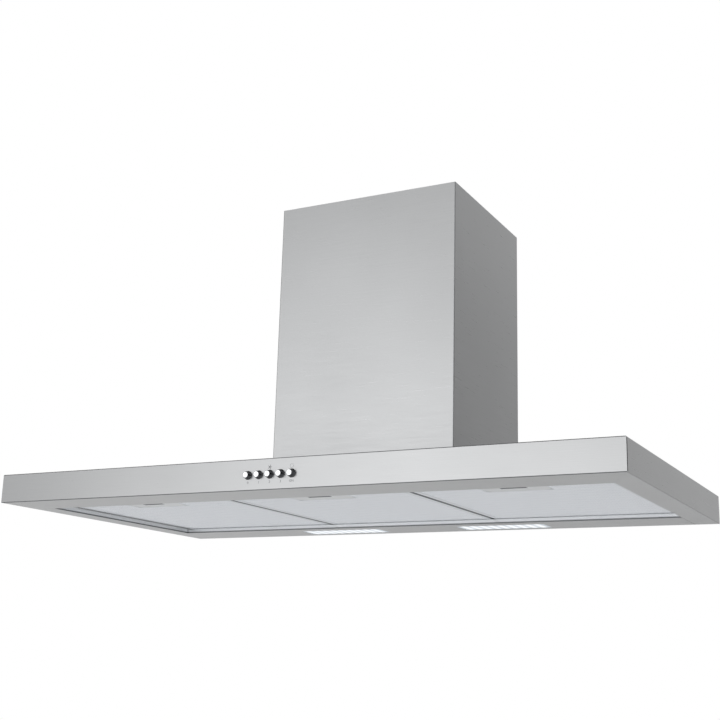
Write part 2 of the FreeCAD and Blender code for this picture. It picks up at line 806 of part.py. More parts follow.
def wall_bracket():
    """Steel plate for the wall, with two upturned hooks that enter the back of the motor box."""
    half = wall_plate_width / 2
    low = hook_height - wall_plate_height / 2
    plate = block(-half, half, -hook_plate, 0, low, low + wall_plate_height)
    hooks = []
    tip = box_rear - box_sheet - hook_clearance - hook_plate
    for side in (-1, 1):
        x = side * hook_spacing / 2
        shelf = block(x - hook_width / 2, x + hook_width / 2, tip, 0, hook_height - hook_plate, hook_height)
        lip = block(x - hook_width / 2, x + hook_width / 2, tip, tip + hook_plate, hook_height - hook_plate,
                    hook_height + hook_lip)
        hooks += [shelf, lip]
    plate = plate.multiFuse(hooks)
    holes = []
    for sx in (-1, 1):
        for sz in (-1, 1):
            holes.append(rod(wall_screw_radius, hook_plate + 2 * overrun,
                             V(sx * wall_screw_spacing / 2, -hook_plate - overrun,
                               hook_height + sz * wall_screw_rise / 2), ALONG_Y))
    return plate.cut(group(holes))


def spiral_point(turn_share, extra):
    """A point of the housing's spiral, from above the wheel round the back to the front."""
    turn = math.radians(270 * turn_share)
    radius = scroll_start_radius * (scroll_end_radius / scroll_start_radius) ** turn_share + extra
    return V(0, fan_y + radius * math.sin(turn), fan_z + radius * math.cos(turn))


def spiral_solid(extra, x0, x1, top, start_share):
    """The spiral and its flared throat as a solid, larger than the air path by extra."""
    step_share = (1 - start_share) / (2 * scroll_arcs)
    points = [spiral_point(start_share + step_share * i, extra) for i in range(2 * scroll_arcs + 1)]
    edges = [Part.Arc(*points[i:i + 3]).toShape() for i in range(0, 2 * scroll_arcs, 2)]
    front_foot = points[-1]
    rear_foot = points[0]
    front_top = V(0, throat_front - throat_flare - extra, top)
    rear_top = V(0, fan_y + throat_flare + extra, top)
    edges += [Part.makeLine(front_foot, front_top), Part.makeLine(front_top, rear_top),
              Part.makeLine(rear_top, rear_foot)]
    face = Part.Face(Part.Wire(edges))
    solid = face.extrude(V(x1 - x0, 0, 0))
    solid.translate(V(x0, 0, 0))
    return solid


def on_spiral(shape, turn_share):
    """Puts a shape made at the origin, upright, on the outside of the spiral's wall."""
    placed = shape.copy()
    placed.rotate(V(0, 0, 0), ALONG_X, -270 * turn_share)
    placed.translate(spiral_point(turn_share, scroll_wall))
    return placed


def snap_hook():
    """A hook of the right half that reaches over the joint and behind the left half's catch."""
    low, high = catch_height + hook_play, catch_height + hook_play + hook_arm
    half = catch_width / 2
    nose = -catch_length - hook_play
    root = block(0, hook_root, -half, half, -catch_root, high)
    arm = block(nose - hook_nose, hook_root, -half, half, low, high)
    return root.multiFuse([arm, block(nose - hook_nose, nose, -half, half, catch_height / 2, high)])


def snap_catch():
    """The catch of the left half under a hook."""
    return block(-catch_length, 0, -catch_width / 2, catch_width / 2, -catch_root, catch_height)


def scroll_half_shell():
    """Right half of the spiral housing with its inlet, lip and top flange."""
    lead = tongue_angle / 270
    outside = spiral_solid(scroll_wall, 0, scroll_half, box_ceiling, lead)
    flange = block(0, scroll_half + scroll_flange, throat_front - throat_flare - scroll_flange,
                   fan_y + throat_flare + scroll_flange, box_ceiling - scroll_flange_thickness, box_ceiling)
    lip = tube(inlet_radius + scroll_wall, inlet_radius, inlet_lip,
               V(scroll_half - scroll_wall - inlet_lip, fan_y, fan_z), ALONG_X)
    air = spiral_solid(0, -overrun, scroll_half - scroll_wall, box_ceiling + overrun, 0)
    inlet = rod(inlet_radius, 2 * overrun, V(scroll_half - overrun, fan_y, fan_z), ALONG_X)
    return outside.fuse(flange).cut(air).cut(inlet).fuse(lip)


def scroll_right():
    """Right half of the housing, with three snap hooks along the joint."""
    body = scroll_half_shell().multiFuse([on_spiral(snap_hook(), share) for share in snap_shares])
    return body.cut(group([screw_hole(place, ALONG_Z) for place in spigot_screw_places]))


def scroll_left():
    """Left half: the mirror image with the catches, and holes for the motor mount."""
    body = mirrored(scroll_half_shell()).multiFuse([on_spiral(snap_catch(), share) for share in snap_shares])
    holes = [screw_hole(V(-scroll_half, p.y, p.z), ALONG_X) for p in mount_screw_places()]
    holes += [screw_hole(place, ALONG_Z) for place in spigot_screw_places]
    return body.cut(group(holes))


def impeller():
    """Squirrel-cage wheel: forward-curved blades between two rings, carried by a middle disc."""
    half = wheel_width / 2
    inner, outer = wheel_inner_radius, wheel_radius
    sweep = math.radians(blade_lead)
    start = wheel_ring - half
    root = V(start, inner, 0)
    tip = V(start, outer * math.cos(sweep), outer * math.sin(sweep))
    along = (tip - root).normalize()
    side = ALONG_X.cross(along)
    middle = (root + tip) * 0.5 - side * blade_sag
    thick = side * blade_thickness
    concave = Part.Arc(root, middle, tip).toShape()
    convex = Part.Arc(root + thick, middle + thick, tip + thick).toShape()
    edges = [concave, Part.makeLine(tip, tip + thick), convex, Part.makeLine(root + thick, root)]
    blade = Part.Face(Part.Wire(Part.__sortEdges__(edges))).extrude(V(-2 * start, 0, 0))
    blades = []
    for i in range(blade_count):
        copy = blade.copy()
        copy.rotate(V(0, 0, 0), ALONG_X, 360 * i / blade_count)
        blades.append(copy)
    rim = outer + blade_thickness
    ring = tube(rim, inner - blade_thickness, wheel_ring, V(-half, 0, 0), ALONG_X)
    far_ring = tube(rim, inner - blade_thickness, wheel_ring, V(half - wheel_ring, 0, 0), ALONG_X)
    disc = rod(inner + blade_sag, wheel_disc, V(-wheel_disc / 2, 0, 0), ALONG_X)
    hub = rod(hub_radius, hub_length, V(-wheel_disc / 2, 0, 0), ALONG_X)
    wheel = disc.multiFuse(blades + [ring, far_ring, hub])
    bore = rod(shaft_radius, wheel_width, V(-half, 0, 0), ALONG_X)
    wheel = wheel.cut(bore)
    wheel.translate(V(0, fan_y, fan_z))
    return wheel


def motor_face():
    """Where the motor's drive end lies along X, from the mount's outer face."""
    return -scroll_half - mount_plate + motor_length


def fan_shaft():
    """Shaft that the wheel is pressed on, turning in the motor's bearings."""
    return rod(shaft_radius, shaft_length, V(motor_face() - shaft_in_motor, fan_y, fan_z), ALONG_X)


def motor():
    """Motor can with its mounting flange, end bell and bearing bore."""
    start = V(-scroll_half - mount_plate, fan_y, fan_z)
    can = rod(motor_radius, motor_length, start, ALONG_X)
    flange = rod(motor_radius + motor_flange_reach, motor_flange, start, ALONG_X * -1)
    bell = rod(motor_radius - motor_end_step, motor_end, start - ALONG_X * motor_flange, ALONG_X * -1)
    bore_start = V(motor_face() - shaft_in_motor - shaft_play, fan_y, fan_z)
    bore = rod(shaft_radius + shaft_play, shaft_in_motor + overrun, bore_start, ALONG_X)
    return can.multiFuse([flange, bell]).cut(bore)


def mount_screw_places():
    """Three points round the inlet where the motor mount is screwed on."""
    places = []
    for i in range(3):
        turn = math.radians(90 + 120 * i)
        places.append(V(-scroll_half - mount_plate, fan_y + mount_screw_circle * math.cos(turn),
                        fan_z + mount_screw_circle * math.sin(turn)))
    return places


def motor_mount():
    """Three-armed plate across the left inlet that carries the motor."""
    start = V(-scroll_half - mount_plate, fan_y, fan_z)
    plate = rod(motor_radius + mount_ring_reach, mount_plate, start, ALONG_X)
    arms = []
    for i in range(3):
        arm = block(0, mount_plate, 0, mount_screw_circle + mount_arm_end,
                    -mount_arm_width / 2, mount_arm_width / 2)
        arm.rotate(V(0, 0, 0), ALONG_X, 90 + 120 * i)
        arm.translate(start)
        arms.append(arm)
    bore = rod(motor_radius + mount_clearance, 2 * overrun, start - ALONG_X * overrun / 2, ALONG_X)
    holes = [screw_hole(p, ALONG_X) for p in mount_screw_places()]
    return plate.multiFuse(arms).cut(group([bore] + holes))


def motor_screws():
    """Screws of the motor mount."""
    return group([screw(p, ALONG_X * -1, mount_plate + scroll_wall) for p in mount_screw_places()])


def outlet_spigot():
    """Round outlet for the duct, with a square flange and a stop under each flap."""
    reach = spigot_radius + spigot_flange
    base = box_top
    flange = block(-reach, reach, spigot_y - reach, spigot_y + reach, base,
                   base + spigot_flange_thickness)
    neck_start = V(0, spigot_y, base)
    neck = rod(spigot_radius, spigot_flange_thickness + spigot_length, neck_start, ALONG_Z)
    body = flange.fuse(neck)
    body = body.cut(rod(duct_bore, spigot_flange_thickness + spigot_length + 2 * overrun,
                        neck_start - ALONG_Z * overrun, ALONG_Z))
    stop_top = pin_z - flap_thickness / 2 - flap_stop_gap
    for side in (-1, 1):
        ys = sorted([spigot_y + side * (duct_bore - flap_stop),
                     spigot_y + side * (duct_bore + spigot_wall / 2)])
        body = body.fuse(block(-stop_width / 2, stop_width / 2, ys[0], ys[1], stop_top - flap_stop, stop_top))
    end = spigot_radius - pin_end_cover
    seat = rod(pin_radius, 2 * end, V(-end, spigot_y, pin_z), ALONG_X)
    return body.cut(seat).cut(group([screw_hole(p, ALONG_Z) for p in spigot_screw_places]))


def spigot_screws():
    """Screws through the spigot's flange into the box and the fan housing."""
    grip = spigot_flange_thickness + box_sheet + scroll_flange_thickness
    return group([screw(p, ALONG_Z, grip) for p in spigot_screw_places])


def flap_pin():
    """Hinge pin across the spigot."""
    end = spigot_radius - pin_end_cover
    return rod(pin_radius, 2 * end, V(-end, spigot_y, pin_z), ALONG_X)


def flap(towards, knuckle_at):
    """One half-round flap; towards is -1 for the front half and 1 for the rear half."""
    radius = duct_bore - flap_edge_gap
    low = pin_z - flap_thickness / 2
    disc = rod(radius, flap_thickness, V(0, spigot_y, low), ALONG_Z)
    edge_y = spigot_y + towards * flap_from_pin
    far_y = spigot_y + towards * (radius + overrun)
    ys = sorted([edge_y, far_y])
    half = disc.common(block(-radius, radius, ys[0], ys[1], low - overrun, low + flap_thickness + overrun))
    parts = []
    web_y = sorted([spigot_y, spigot_y + towards * (flap_from_pin + flap_thickness)])
    for side in (-1, 1):
        x0 = min(side * knuckle_at, side * (knuckle_at + knuckle_length))
        parts.append(rod(knuckle_radius, knuckle_length, V(x0, spigot_y, pin_z), ALONG_X))
        parts.append(block(x0, x0 + knuckle_length, web_y[0], web_y[1], low, low + flap_thickness))
    bore = rod(pin_radius + pin_play, 2 * radius, V(-radius, spigot_y, pin_z), ALONG_X)
    return half.multiFuse(parts).cut(bore)


def terminal_box():
    """Moulded connection box inside the motor box, under the cable gland, open on its inner side."""
    x0, x1 = terminal_x - terminal_width / 2, terminal_x + terminal_width / 2
    y0, y1 = terminal_y - terminal_depth / 2, terminal_y + terminal_depth / 2
    z0, z1 = box_ceiling - terminal_height, box_ceiling
    t = terminal_wall
    outside = block(x0 + t, x1, y0, y1, z0, z1)
    inside = block(x0, x1 - t, y0 + t, y1 - t, z0 + t, z1 - t)
    hole = rod(gland_thread_radius + gland_clearance, t + 2 * overrun,
               V(terminal_x, terminal_y, z1 - t - overrun), ALONG_Z)
    return outside.cut(inside).cut(hole)


def terminal_lid():
    """Cover of the connection box."""
    x0 = terminal_x - terminal_width / 2
    return block(x0, x0 + terminal_wall, terminal_y - terminal_depth / 2, terminal_y + terminal_depth / 2,
                 box_ceiling - terminal_height, box_ceiling)


def terminal_block():
    """Wire terminals on the back of the connection box."""
    rear_x = terminal_x + terminal_width / 2 - terminal_wall
    reach = terminal_depth / 2 - terminal_wall - terminal_block_margin
    low = box_ceiling - terminal_height + terminal_wall + terminal_lift
    return block(rear_x - terminal_block_height, rear_x, terminal_y - reach, terminal_y + reach, low,
                 low + terminal_block_height)


def cable_gland():
    """Gland for the mains cable on top of the motor box."""
    hexed = hexagon(gland_hex_radius, gland_hex, gland_place, ALONG_Z, ALONG_X)
    cap = hexagon(gland_cap_radius, gland_cap, gland_place + ALONG_Z * gland_hex, ALONG_Z, ALONG_Y)
    foot = gland_place - ALONG_Z * (box_sheet + gland_below)
    thread = rod(gland_thread_radius, box_sheet + gland_below, foot, ALONG_Z)
    length = gland_below + box_sheet + gland_hex + gland_cap
    bore = rod(gland_bore, length + 2 * overrun, foot - ALONG_Z * overrun, ALONG_Z)
    return hexed.multiFuse([cap, thread]).cut(bore)


def capacitor():
    """Boxed run capacitor of the motor, with its foot riveted to the side of the box."""
    wall_x = box_sheet - box_half
    top = box_ceiling - capacitor_foot
    y0, y1 = capacitor_y - capacitor_depth / 2, capacitor_y + capacitor_depth / 2
    case = block(wall_x, wall_x + capacitor_width, y0, y1, top - capacitor_height, top)
    foot = block(wall_x, wall_x + capacitor_foot_thickness, y0, y1,
                 top - capacitor_height - capacitor_foot, top + capacitor_foot)
    return case.fuse(foot)


def all_parts():
    """Every sub-part by its name."""
    lamp_xs = {"left": -lamp_spacing / 2, "right": lamp_spacing / 2}
    parts = {
        "canopy_shell": canopy_shell(),
        "lamp_panel": lamp_panel(),
        "led_driver": led_driver(),
        "switch_block": switch_block(),
        "switch_bracket": switch_bracket(),
        "lower_chimney": lower_chimney(),
        "upper_chimney": upper_chimney(),
        "chimney_bracket": chimney_bracket(),
        "bracket_screws": bracket_screws(),
        "chimney_screws": chimney_screws(),
        "motor_box": motor_box(),
        "motor_box_top": motor_box_top(),
        "motor_box_back": motor_box_back(),
        "box_screws": box_screws(),
        "wall_bracket": wall_bracket(),
        "scroll_left": scroll_left(),
        "scroll_right": scroll_right(),
        "impeller": impeller(),
        "fan_shaft": fan_shaft(),
        "motor": motor(),
        "motor_mount": motor_mount(),
        "motor_screws": motor_screws(),
        "outlet_spigot": outlet_spigot(),
        "spigot_screws": spigot_screws(),
        "flap_pin": flap_pin(),
        "flap_front": flap(-1, knuckle_start + knuckle_length + knuckle_space),
        "flap_rear": flap(1, knuckle_start),
        "terminal_box": terminal_box(),
        "terminal_lid": terminal_lid(),
        "terminal_block": terminal_block(),
        "cable_gland": cable_gland(),
        "capacitor": capacitor(),
    }
    for name, x in lamp_xs.items():
        parts["lamp_lens_" + name] = lamp_lens(x)
        parts["lamp_housing_" + name] = lamp_housing(x)
        parts["led_board_" + name] = led_board(x)
    for name, x in zip(filter_names, filter_xs):
        parts["filter_frame_" + name] = filter_frame(x)
        parts["filter_tray_" + name] = filter_tray(x)
        parts["filter_mesh_" + name] = filter_mesh(x)
        parts["filter_latch_" + name] = filter_latch(x)
    for number, x in enumerate(button_xs, start=1):
        parts["button_" + str(number)] = button(x)
    return parts


os.makedirs("parts", exist_ok=True)
for node, shape in all_parts().items():
    shape.exportStep(os.path.join("parts", node + ".step"))
    print(node, len(shape.Solids), round(shape.Volume), shape.isValid())
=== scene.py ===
import math

import bmesh
import bpy
from mathutils import Matrix, Vector


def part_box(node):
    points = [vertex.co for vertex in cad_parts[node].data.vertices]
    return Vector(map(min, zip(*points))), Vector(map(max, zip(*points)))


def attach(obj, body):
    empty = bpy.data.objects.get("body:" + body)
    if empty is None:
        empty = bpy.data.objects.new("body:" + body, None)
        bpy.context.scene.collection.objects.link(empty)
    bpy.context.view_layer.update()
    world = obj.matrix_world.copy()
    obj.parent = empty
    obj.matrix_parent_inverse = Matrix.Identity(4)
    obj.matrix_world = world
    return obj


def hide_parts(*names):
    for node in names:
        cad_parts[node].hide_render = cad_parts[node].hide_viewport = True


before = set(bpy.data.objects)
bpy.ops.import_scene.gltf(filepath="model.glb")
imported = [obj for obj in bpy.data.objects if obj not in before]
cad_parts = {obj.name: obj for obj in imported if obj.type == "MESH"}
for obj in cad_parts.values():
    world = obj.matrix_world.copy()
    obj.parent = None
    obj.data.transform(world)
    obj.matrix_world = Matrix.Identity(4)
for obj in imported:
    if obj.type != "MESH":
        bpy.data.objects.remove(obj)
bpy.context.view_layer.update()
MM = 0.001


# Canopy: a slim box folded from 0.8 mm stainless sheet, grade 304, brushed lengthways in the coil before it
# is cut. The returns underneath are folded from the same sheet, with a welded mitre below each front corner,
# and the rear strip that carries the lamps is a second folding spot-welded to the rear wall.
sheet = 0.8 * MM
fold_radius = 1.2 * MM
side_return, front_return = 34 * MM, 73 * MM
opening_half = 415 * MM
opening_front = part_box("canopy_shell")[0].y + front_return
hem_height = 7.4 * MM
hem_side_margin, hem_top_margin = 0.5 * MM, 0.2 * MM
# Heights of the painted shade line at the hems' turn, and the painted light on the hems' faces
hem_shade_low, hem_shade_high = 1 * MM, 2.8 * MM
hem_painted_light_hex = "e2e4e6"
scratch_depth = 0.02 * MM
hand_width = 180 * MM
# A noise texture's values lie mostly between these
noise_low, noise_high = 0.3, 0.7
weld_width = 0.7 * MM
# The strip of painted shade in each upright corner seam
seam_shade_width = 3.4 * MM
seam_lift = 0.02 * MM
shade_mottle_size = 5 * MM
rest_width, rest_thickness = 3.6 * MM, 0.8 * MM


def linear(hex_text):
    """A colour written as sRGB hex, as the linear RGBA that a shader reads."""
    shares = [int(hex_text[i:i + 2], 16) / 255 for i in (0, 2, 4)]
    return tuple(s / 12.92 if s <= 0.04045 else ((s + 0.055) / 1.055) ** 2.4 for s in shares) + (1.0,)


def new_material(name, **sockets):
    """A material with its shader's own sockets set; returns the material and the shader."""
    material = bpy.data.materials.new(name)
    material.use_nodes = True
    shader = material.node_tree.nodes["Principled BSDF"]
    for socket, value in sockets.items():
        shader.inputs[socket.replace("_", " ")].default_value = value
    return material, shader


def add(material, kind, inputs, **settings):
    """Adds a shader node; each input is a value or the output that feeds it.

    A Mix node takes its share as input 0, its two numbers as 2 and 3 and its two colours as 6 and 7, and it
    gives a number as output 0 and a colour as output 2.
    """
    node = material.node_tree.nodes.new("ShaderNode" + kind)
    for name, value in settings.items():
        setattr(node, name, value)
    for name, value in inputs.items():
        if isinstance(value, bpy.types.NodeSocket):
            material.node_tree.links.new(value, node.inputs[name])
        else:
            node.inputs[name].default_value = value
    return node


def feed(material, shader, **outputs):
    """Links outputs to the shader's sockets by name."""
    for socket, output in outputs.items():
        material.node_tree.links.new(output, shader.inputs[socket.replace("_", " ")])


def brushed_steel(name, hex_dark, hex_light, hex_fold_shade, streak_width, streak_length):
    """Stainless steel, brushed level on upright faces and along X on flat ones; painted shade on folds,
    painted light on hems.
    """
    material, shader = new_material(name, Metallic=1.0, Anisotropic=0.55)
    place = add(material, "TexCoord", {})
    facing = add(material, "VectorMath", {0: place.outputs["Normal"]}, operation="ABSOLUTE")
    facing = add(material, "SeparateXYZ", {0: facing.outputs[0]})
    along, across = 1 / streak_length, 1 / streak_width
    grains = []
    for scale in ((along, along, across), (along, across, across)):
        spot = add(material, "Mapping", {"Vector": place.outputs["Object"], "Scale": scale})
        grains.append(add(material, "TexNoise", {"Vector": spot.outputs["Vector"], "Scale": 1.0,
                                                 "Detail": 4.0, "Roughness": 0.65}))
    grain = add(material, "Mix", {0: facing.outputs["Z"], 2: grains[0].outputs["Fac"],
                                  3: grains[1].outputs["Fac"]})
    # Slow change of tone over a hand's width, as rolled sheet has
    cloud = add(material, "TexNoise", {"Vector": place.outputs["Object"], "Scale": 1 / hand_width,
                                       "Detail": 2.0})
    tone = add(material, "MapRange", {"Value": grain.outputs[0], "From Min": noise_low,
                                      "From Max": noise_high, "To Min": 0.4, "To Max": 1.2})
    tone = add(material, "Math", {0: tone.outputs[0], 1: cloud.outputs["Fac"]}, operation="MULTIPLY")
    colour = add(material, "Mix", {0: tone.outputs[0], 6: linear(hex_dark), 7: linear(hex_light)},
                 data_type="RGBA")
    # Painted shade along the folds: a fold is where the surface faces between two of the axes
    widest = add(material, "Math", {0: facing.outputs["X"], 1: facing.outputs["Y"]}, operation="MAXIMUM")
    widest = add(material, "Math", {0: widest.outputs[0], 1: facing.outputs["Z"]}, operation="MAXIMUM")
    fold_shade = add(material, "MapRange", {"Value": widest.outputs[0], "From Min": 0.995, "From Max": 0.96})
    # The painted fold shade is weaker along the long folds below and above the sides
    at_side = add(material, "Math", {0: facing.outputs["X"], 1: facing.outputs["Z"]}, operation="MINIMUM")
    fainter_at_sides = add(material, "MapRange", {"Value": at_side.outputs[0], "From Min": 0.05, "From Max": 0.2,
                                        "To Min": 1.0, "To Max": 0.3})
    fold_shade = add(material, "Math", {0: fold_shade.outputs[0], 1: fainter_at_sides.outputs[0]}, operation="MULTIPLY")
    # The hems round the opening stand upright: painted light on their faces, with a soft line of painted
    # shade at their turn
    spot = add(material, "SeparateXYZ", {0: place.outputs["Object"]})
    from_middle = add(material, "Math", {0: spot.outputs["X"]}, operation="ABSOLUTE")
    hem = add(material, "MapRange", {"Value": facing.outputs["Z"], "From Min": 0.04, "From Max": 0.02})
    for distance, limit, margin in ((from_middle.outputs[0], opening_half, hem_side_margin),
                                    (spot.outputs["Y"], opening_front, -hem_side_margin),
                                    (spot.outputs["Z"], hem_height, hem_top_margin)):
        within = add(material, "MapRange", {"Value": distance, "From Min": limit + 2 * margin,
                                            "From Max": limit + margin})
        hem = add(material, "Math", {0: hem.outputs[0], 1: within.outputs[0]}, operation="MULTIPLY")
    colour = add(material, "Mix", {0: hem.outputs[0], 6: colour.outputs[2], 7: linear(hem_painted_light_hex)},
                 data_type="RGBA")
    low_down = add(material, "MapRange", {"Value": spot.outputs["Z"], "From Min": hem_shade_high,
                                          "From Max": hem_shade_low})
    hem_painted_shade = add(material, "Math", {0: low_down.outputs[0], 1: hem.outputs[0]}, operation="MULTIPLY")
    fold_shade = add(material, "Math", {0: fold_shade.outputs[0], 1: hem_painted_shade.outputs[0]}, operation="MAXIMUM")
    colour = add(material, "Mix", {0: fold_shade.outputs[0], 6: colour.outputs[2], 7: linear(hex_fold_shade)},
                 data_type="RGBA")
    rough = add(material, "MapRange", {"Value": grain.outputs[0], "From Min": noise_low,
                                       "From Max": noise_high, "To Min": 0.27, "To Max": 0.37})
    bump = add(material, "Bump", {"Height": grain.outputs[0], "Strength": 0.25, "Distance": scratch_depth})
    # Light spreads across the grain, so the shader's long direction is upright, or along Y on flat faces
    spread = add(material, "CombineXYZ", {"Y": 0.001, "Z": 1.0})
    feed(material, shader, Base_Color=colour.outputs[2], Roughness=rough.outputs[0], Normal=bump.outputs[0],
         Tangent=spread.outputs[0])
    return material


def dress(names, material):
    """Gives CAD nodes their finish."""
    for name in names:
        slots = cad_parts[name].data.materials
        slots.clear()
        slots.append(material)


# Brushed 304 stainless: soft level streaks, brighter where the light comes from straight ahead, and painted
# shade as dark lines along the folds. The real scratches are about 0.1 mm wide, drawn here 0.8 mm wide so
# that they show.
stainless = brushed_steel("brushed_stainless_304", "bcbdbe", "cdcecf", "66686a",
                          streak_width=0.8 * MM, streak_length=70 * MM)
dress(["canopy_shell", "lamp_panel"], stainless)


def piece_from(bm, name, body, material, slot, *nodes):
    """Makes a bmesh a piece that rides on a body, stands for CAD nodes and has one finish."""
    mesh = bpy.data.meshes.new(name)
    bm.to_mesh(mesh)
    bm.free()
    piece = bpy.data.objects.new(name, mesh)
    bpy.context.scene.collection.objects.link(piece)
    mesh.materials.append(material)
    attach(piece, body)
    if nodes:
        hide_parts(*nodes)
    return piece


def plate_of(corners, rise, side):
    """A flat plate with the given corners and thickness, on the right; side -1 mirrors it to the left."""
    bm = bmesh.new()
    outline = bm.faces.new([bm.verts.new(corner) for corner in corners])
    made = bmesh.ops.extrude_face_region(bm, geom=[outline])["geom"]
    bmesh.ops.translate(bm, vec=rise, verts=[v for v in made if isinstance(v, bmesh.types.BMVert)])
    bmesh.ops.recalc_face_normals(bm, faces=bm.faces)
    if side < 0:
        bmesh.ops.scale(bm, vec=(-1, 1, 1), verts=bm.verts)
        bmesh.ops.reverse_faces(bm, faces=bm.faces)
    return bm


def mitre_weld(side):
    """The weld that fills the mitre below one front corner, ground level with the sheet."""
    low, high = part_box("canopy_shell")
    corner = Vector((high.x - fold_radius, low.y + fold_radius, low.z))
    inner = Vector((high.x - side_return + sheet, low.y + front_return - sheet, low.z))
    across = (corner - inner).cross(Vector((0, 0, 1))).normalized() * weld_width / 2
    return plate_of((inner - across, corner - across, corner + across, inner + across), (0, 0, sheet), side)


def corner_seam_shade(side):
    """A dark strip in the upright seam behind one front corner: painted shade for the seam."""
    low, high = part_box("canopy_shell")
    outside = high.x + seam_lift
    front, rear = low.y + seam_lift, low.y + seam_lift + seam_shade_width
    bottom, top = low.z + fold_radius, high.z - fold_radius
    return plate_of(((outside, front, bottom), (outside, rear, bottom), (outside, rear, top),
                     (outside, front, top)), (seam_lift - sheet, 0, 0), side)


def filter_rest(side):
    """The strip of the same sheet, welded level inside a side hem, that the filters close against."""
    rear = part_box("lamp_panel")[0].y - sheet
    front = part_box("filter_frame_left")[0].y + sheet
    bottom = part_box("filter_frame_left")[0].z - rest_thickness
    inner = opening_half - rest_width
    return plate_of(((inner, front, bottom), (opening_half, front, bottom), (opening_half, rear, bottom),
                     (inner, rear, bottom)), (0, 0, rest_thickness), side)


# Painted shade for the upright corner seams: dull and nearly black between the two bright faces, unevenly
# dark.
seam_shade_paint, seam_shade_shader = new_material("painted_seam_shade", Roughness=0.6)
place = add(seam_shade_paint, "TexCoord", {})
shade_mottle = add(seam_shade_paint, "TexNoise", {"Vector": place.outputs["Object"], "Scale": 1 / shade_mottle_size, "Detail": 3.0})
tone = add(seam_shade_paint, "Mix", {0: shade_mottle.outputs["Fac"], 6: linear("1e1f21"), 7: linear("323436")},
           data_type="RGBA")
feed(seam_shade_paint, seam_shade_shader, Base_Color=tone.outputs[2])
for name, side in (("left", -1), ("right", 1)):
    piece_from(mitre_weld(side), "mitre_weld_" + name, "hood", stainless, "stainless")
    piece_from(corner_seam_shade(side), "corner_seam_shade_" + name, "hood", seam_shade_paint, "black_plastic")
    piece_from(filter_rest(side), "filter_rest_" + name, "hood", stainless, "stainless")


# Chimney: a lower cover that stands on the canopy, and a thinner upper one that slides out of it. Both are
# folded from brushed stainless sheet on three sides, with returns at the open back.

# Brushed stainless as on the canopy, a touch greyer, with shorter streaks and lighter painted shade on the
# folds.
chimney_steel = brushed_steel("brushed_stainless_chimney", "bcbdbe", "cbcccd", "8a8c8e",
                              streak_width=0.8 * MM, streak_length=55 * MM)
dress(["lower_chimney", "upper_chimney"], chimney_steel)


# Grease filters: a frame folded from 0.6 mm aluminium strip round several layers of expanded mesh. The outer
# layer is drawn strand by strand, and the layers above it as one pad.
FILTER_SIDES = ("left", "centre", "right")
frame_border = 12 * MM
strip_thickness = 0.6 * MM
rolled_edge = 1.8 * MM
rolled_steps = 4
side_gap = 1 * MM
tongue_way_half, tongue_way_top = 15.3 * MM, 2.6 * MM
tray_clearance = 1.5 * MM
net_length, net_width = 8 * MM, 4 * MM
net_strand, net_thickness = 0.95 * MM, 0.6 * MM
net_tuck = 3 * MM
net_lift, pad_lift = 1.1 * MM, 1.9 * MM
pad_thickness = 1.2 * MM
layer_length, layer_width = 7 * MM, 3.4 * MM
layer_depth = 0.3 * MM
mottle_depth = 0.05 * MM
few_faces = 100
notch_reach_share, open_cell_share = 0.7, 0.7
level_cosine = math.cos(math.radians(8))


def cut_along(bm, point, normal, clear=False, near=None):
    """Cuts faces along a plane, all of them or those near a spot; with clear, the normal's side goes."""
    faces = [f for f in bm.faces if near is None or (f.calc_center_median() - near[0]).length < near[1]]
    geometry = faces + list({e for f in faces for e in f.edges}) + list({v for f in faces for v in f.verts})
    bmesh.ops.bisect_plane(bm, geom=geometry, plane_co=point, plane_no=normal, clear_outer=clear)


def clip_to_window(bm, side):
    """Trims a sheet to what shows of a filter's mesh, with a notch for the latch's tray."""
    low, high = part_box("filter_frame_" + side)
    latch_low, latch_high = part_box("filter_latch_" + side)
    reach = frame_border - net_tuck
    cut_along(bm, (low.x + reach, 0, 0), (-1, 0, 0), clear=True)
    cut_along(bm, (high.x - reach, 0, 0), (1, 0, 0), clear=True)
    cut_along(bm, (0, low.y + reach, 0), (0, -1, 0), clear=True)
    cut_along(bm, (0, high.y - reach, 0), (0, 1, 0), clear=True)
    notch_left, notch_right = latch_low.x - tray_clearance, latch_high.x + tray_clearance
    notch_rear = latch_high.y + tray_clearance
    # Only the net has so many faces that these cuts are kept near the notch
    around = None
    if len(bm.faces) > few_faces:
        around = ((latch_low + latch_high) / 2, (notch_right - notch_left) * notch_reach_share)
    cut_along(bm, (notch_left, 0, 0), (1, 0, 0), near=around)
    cut_along(bm, (notch_right, 0, 0), (1, 0, 0), near=around)
    cut_along(bm, (0, notch_rear, 0), (0, 1, 0), near=around)
    gone = [f for f in bm.faces
            if notch_left < f.calc_center_median().x < notch_right and f.calc_center_median().y < notch_rear]
    bmesh.ops.delete(bm, geom=gone, context="FACES")


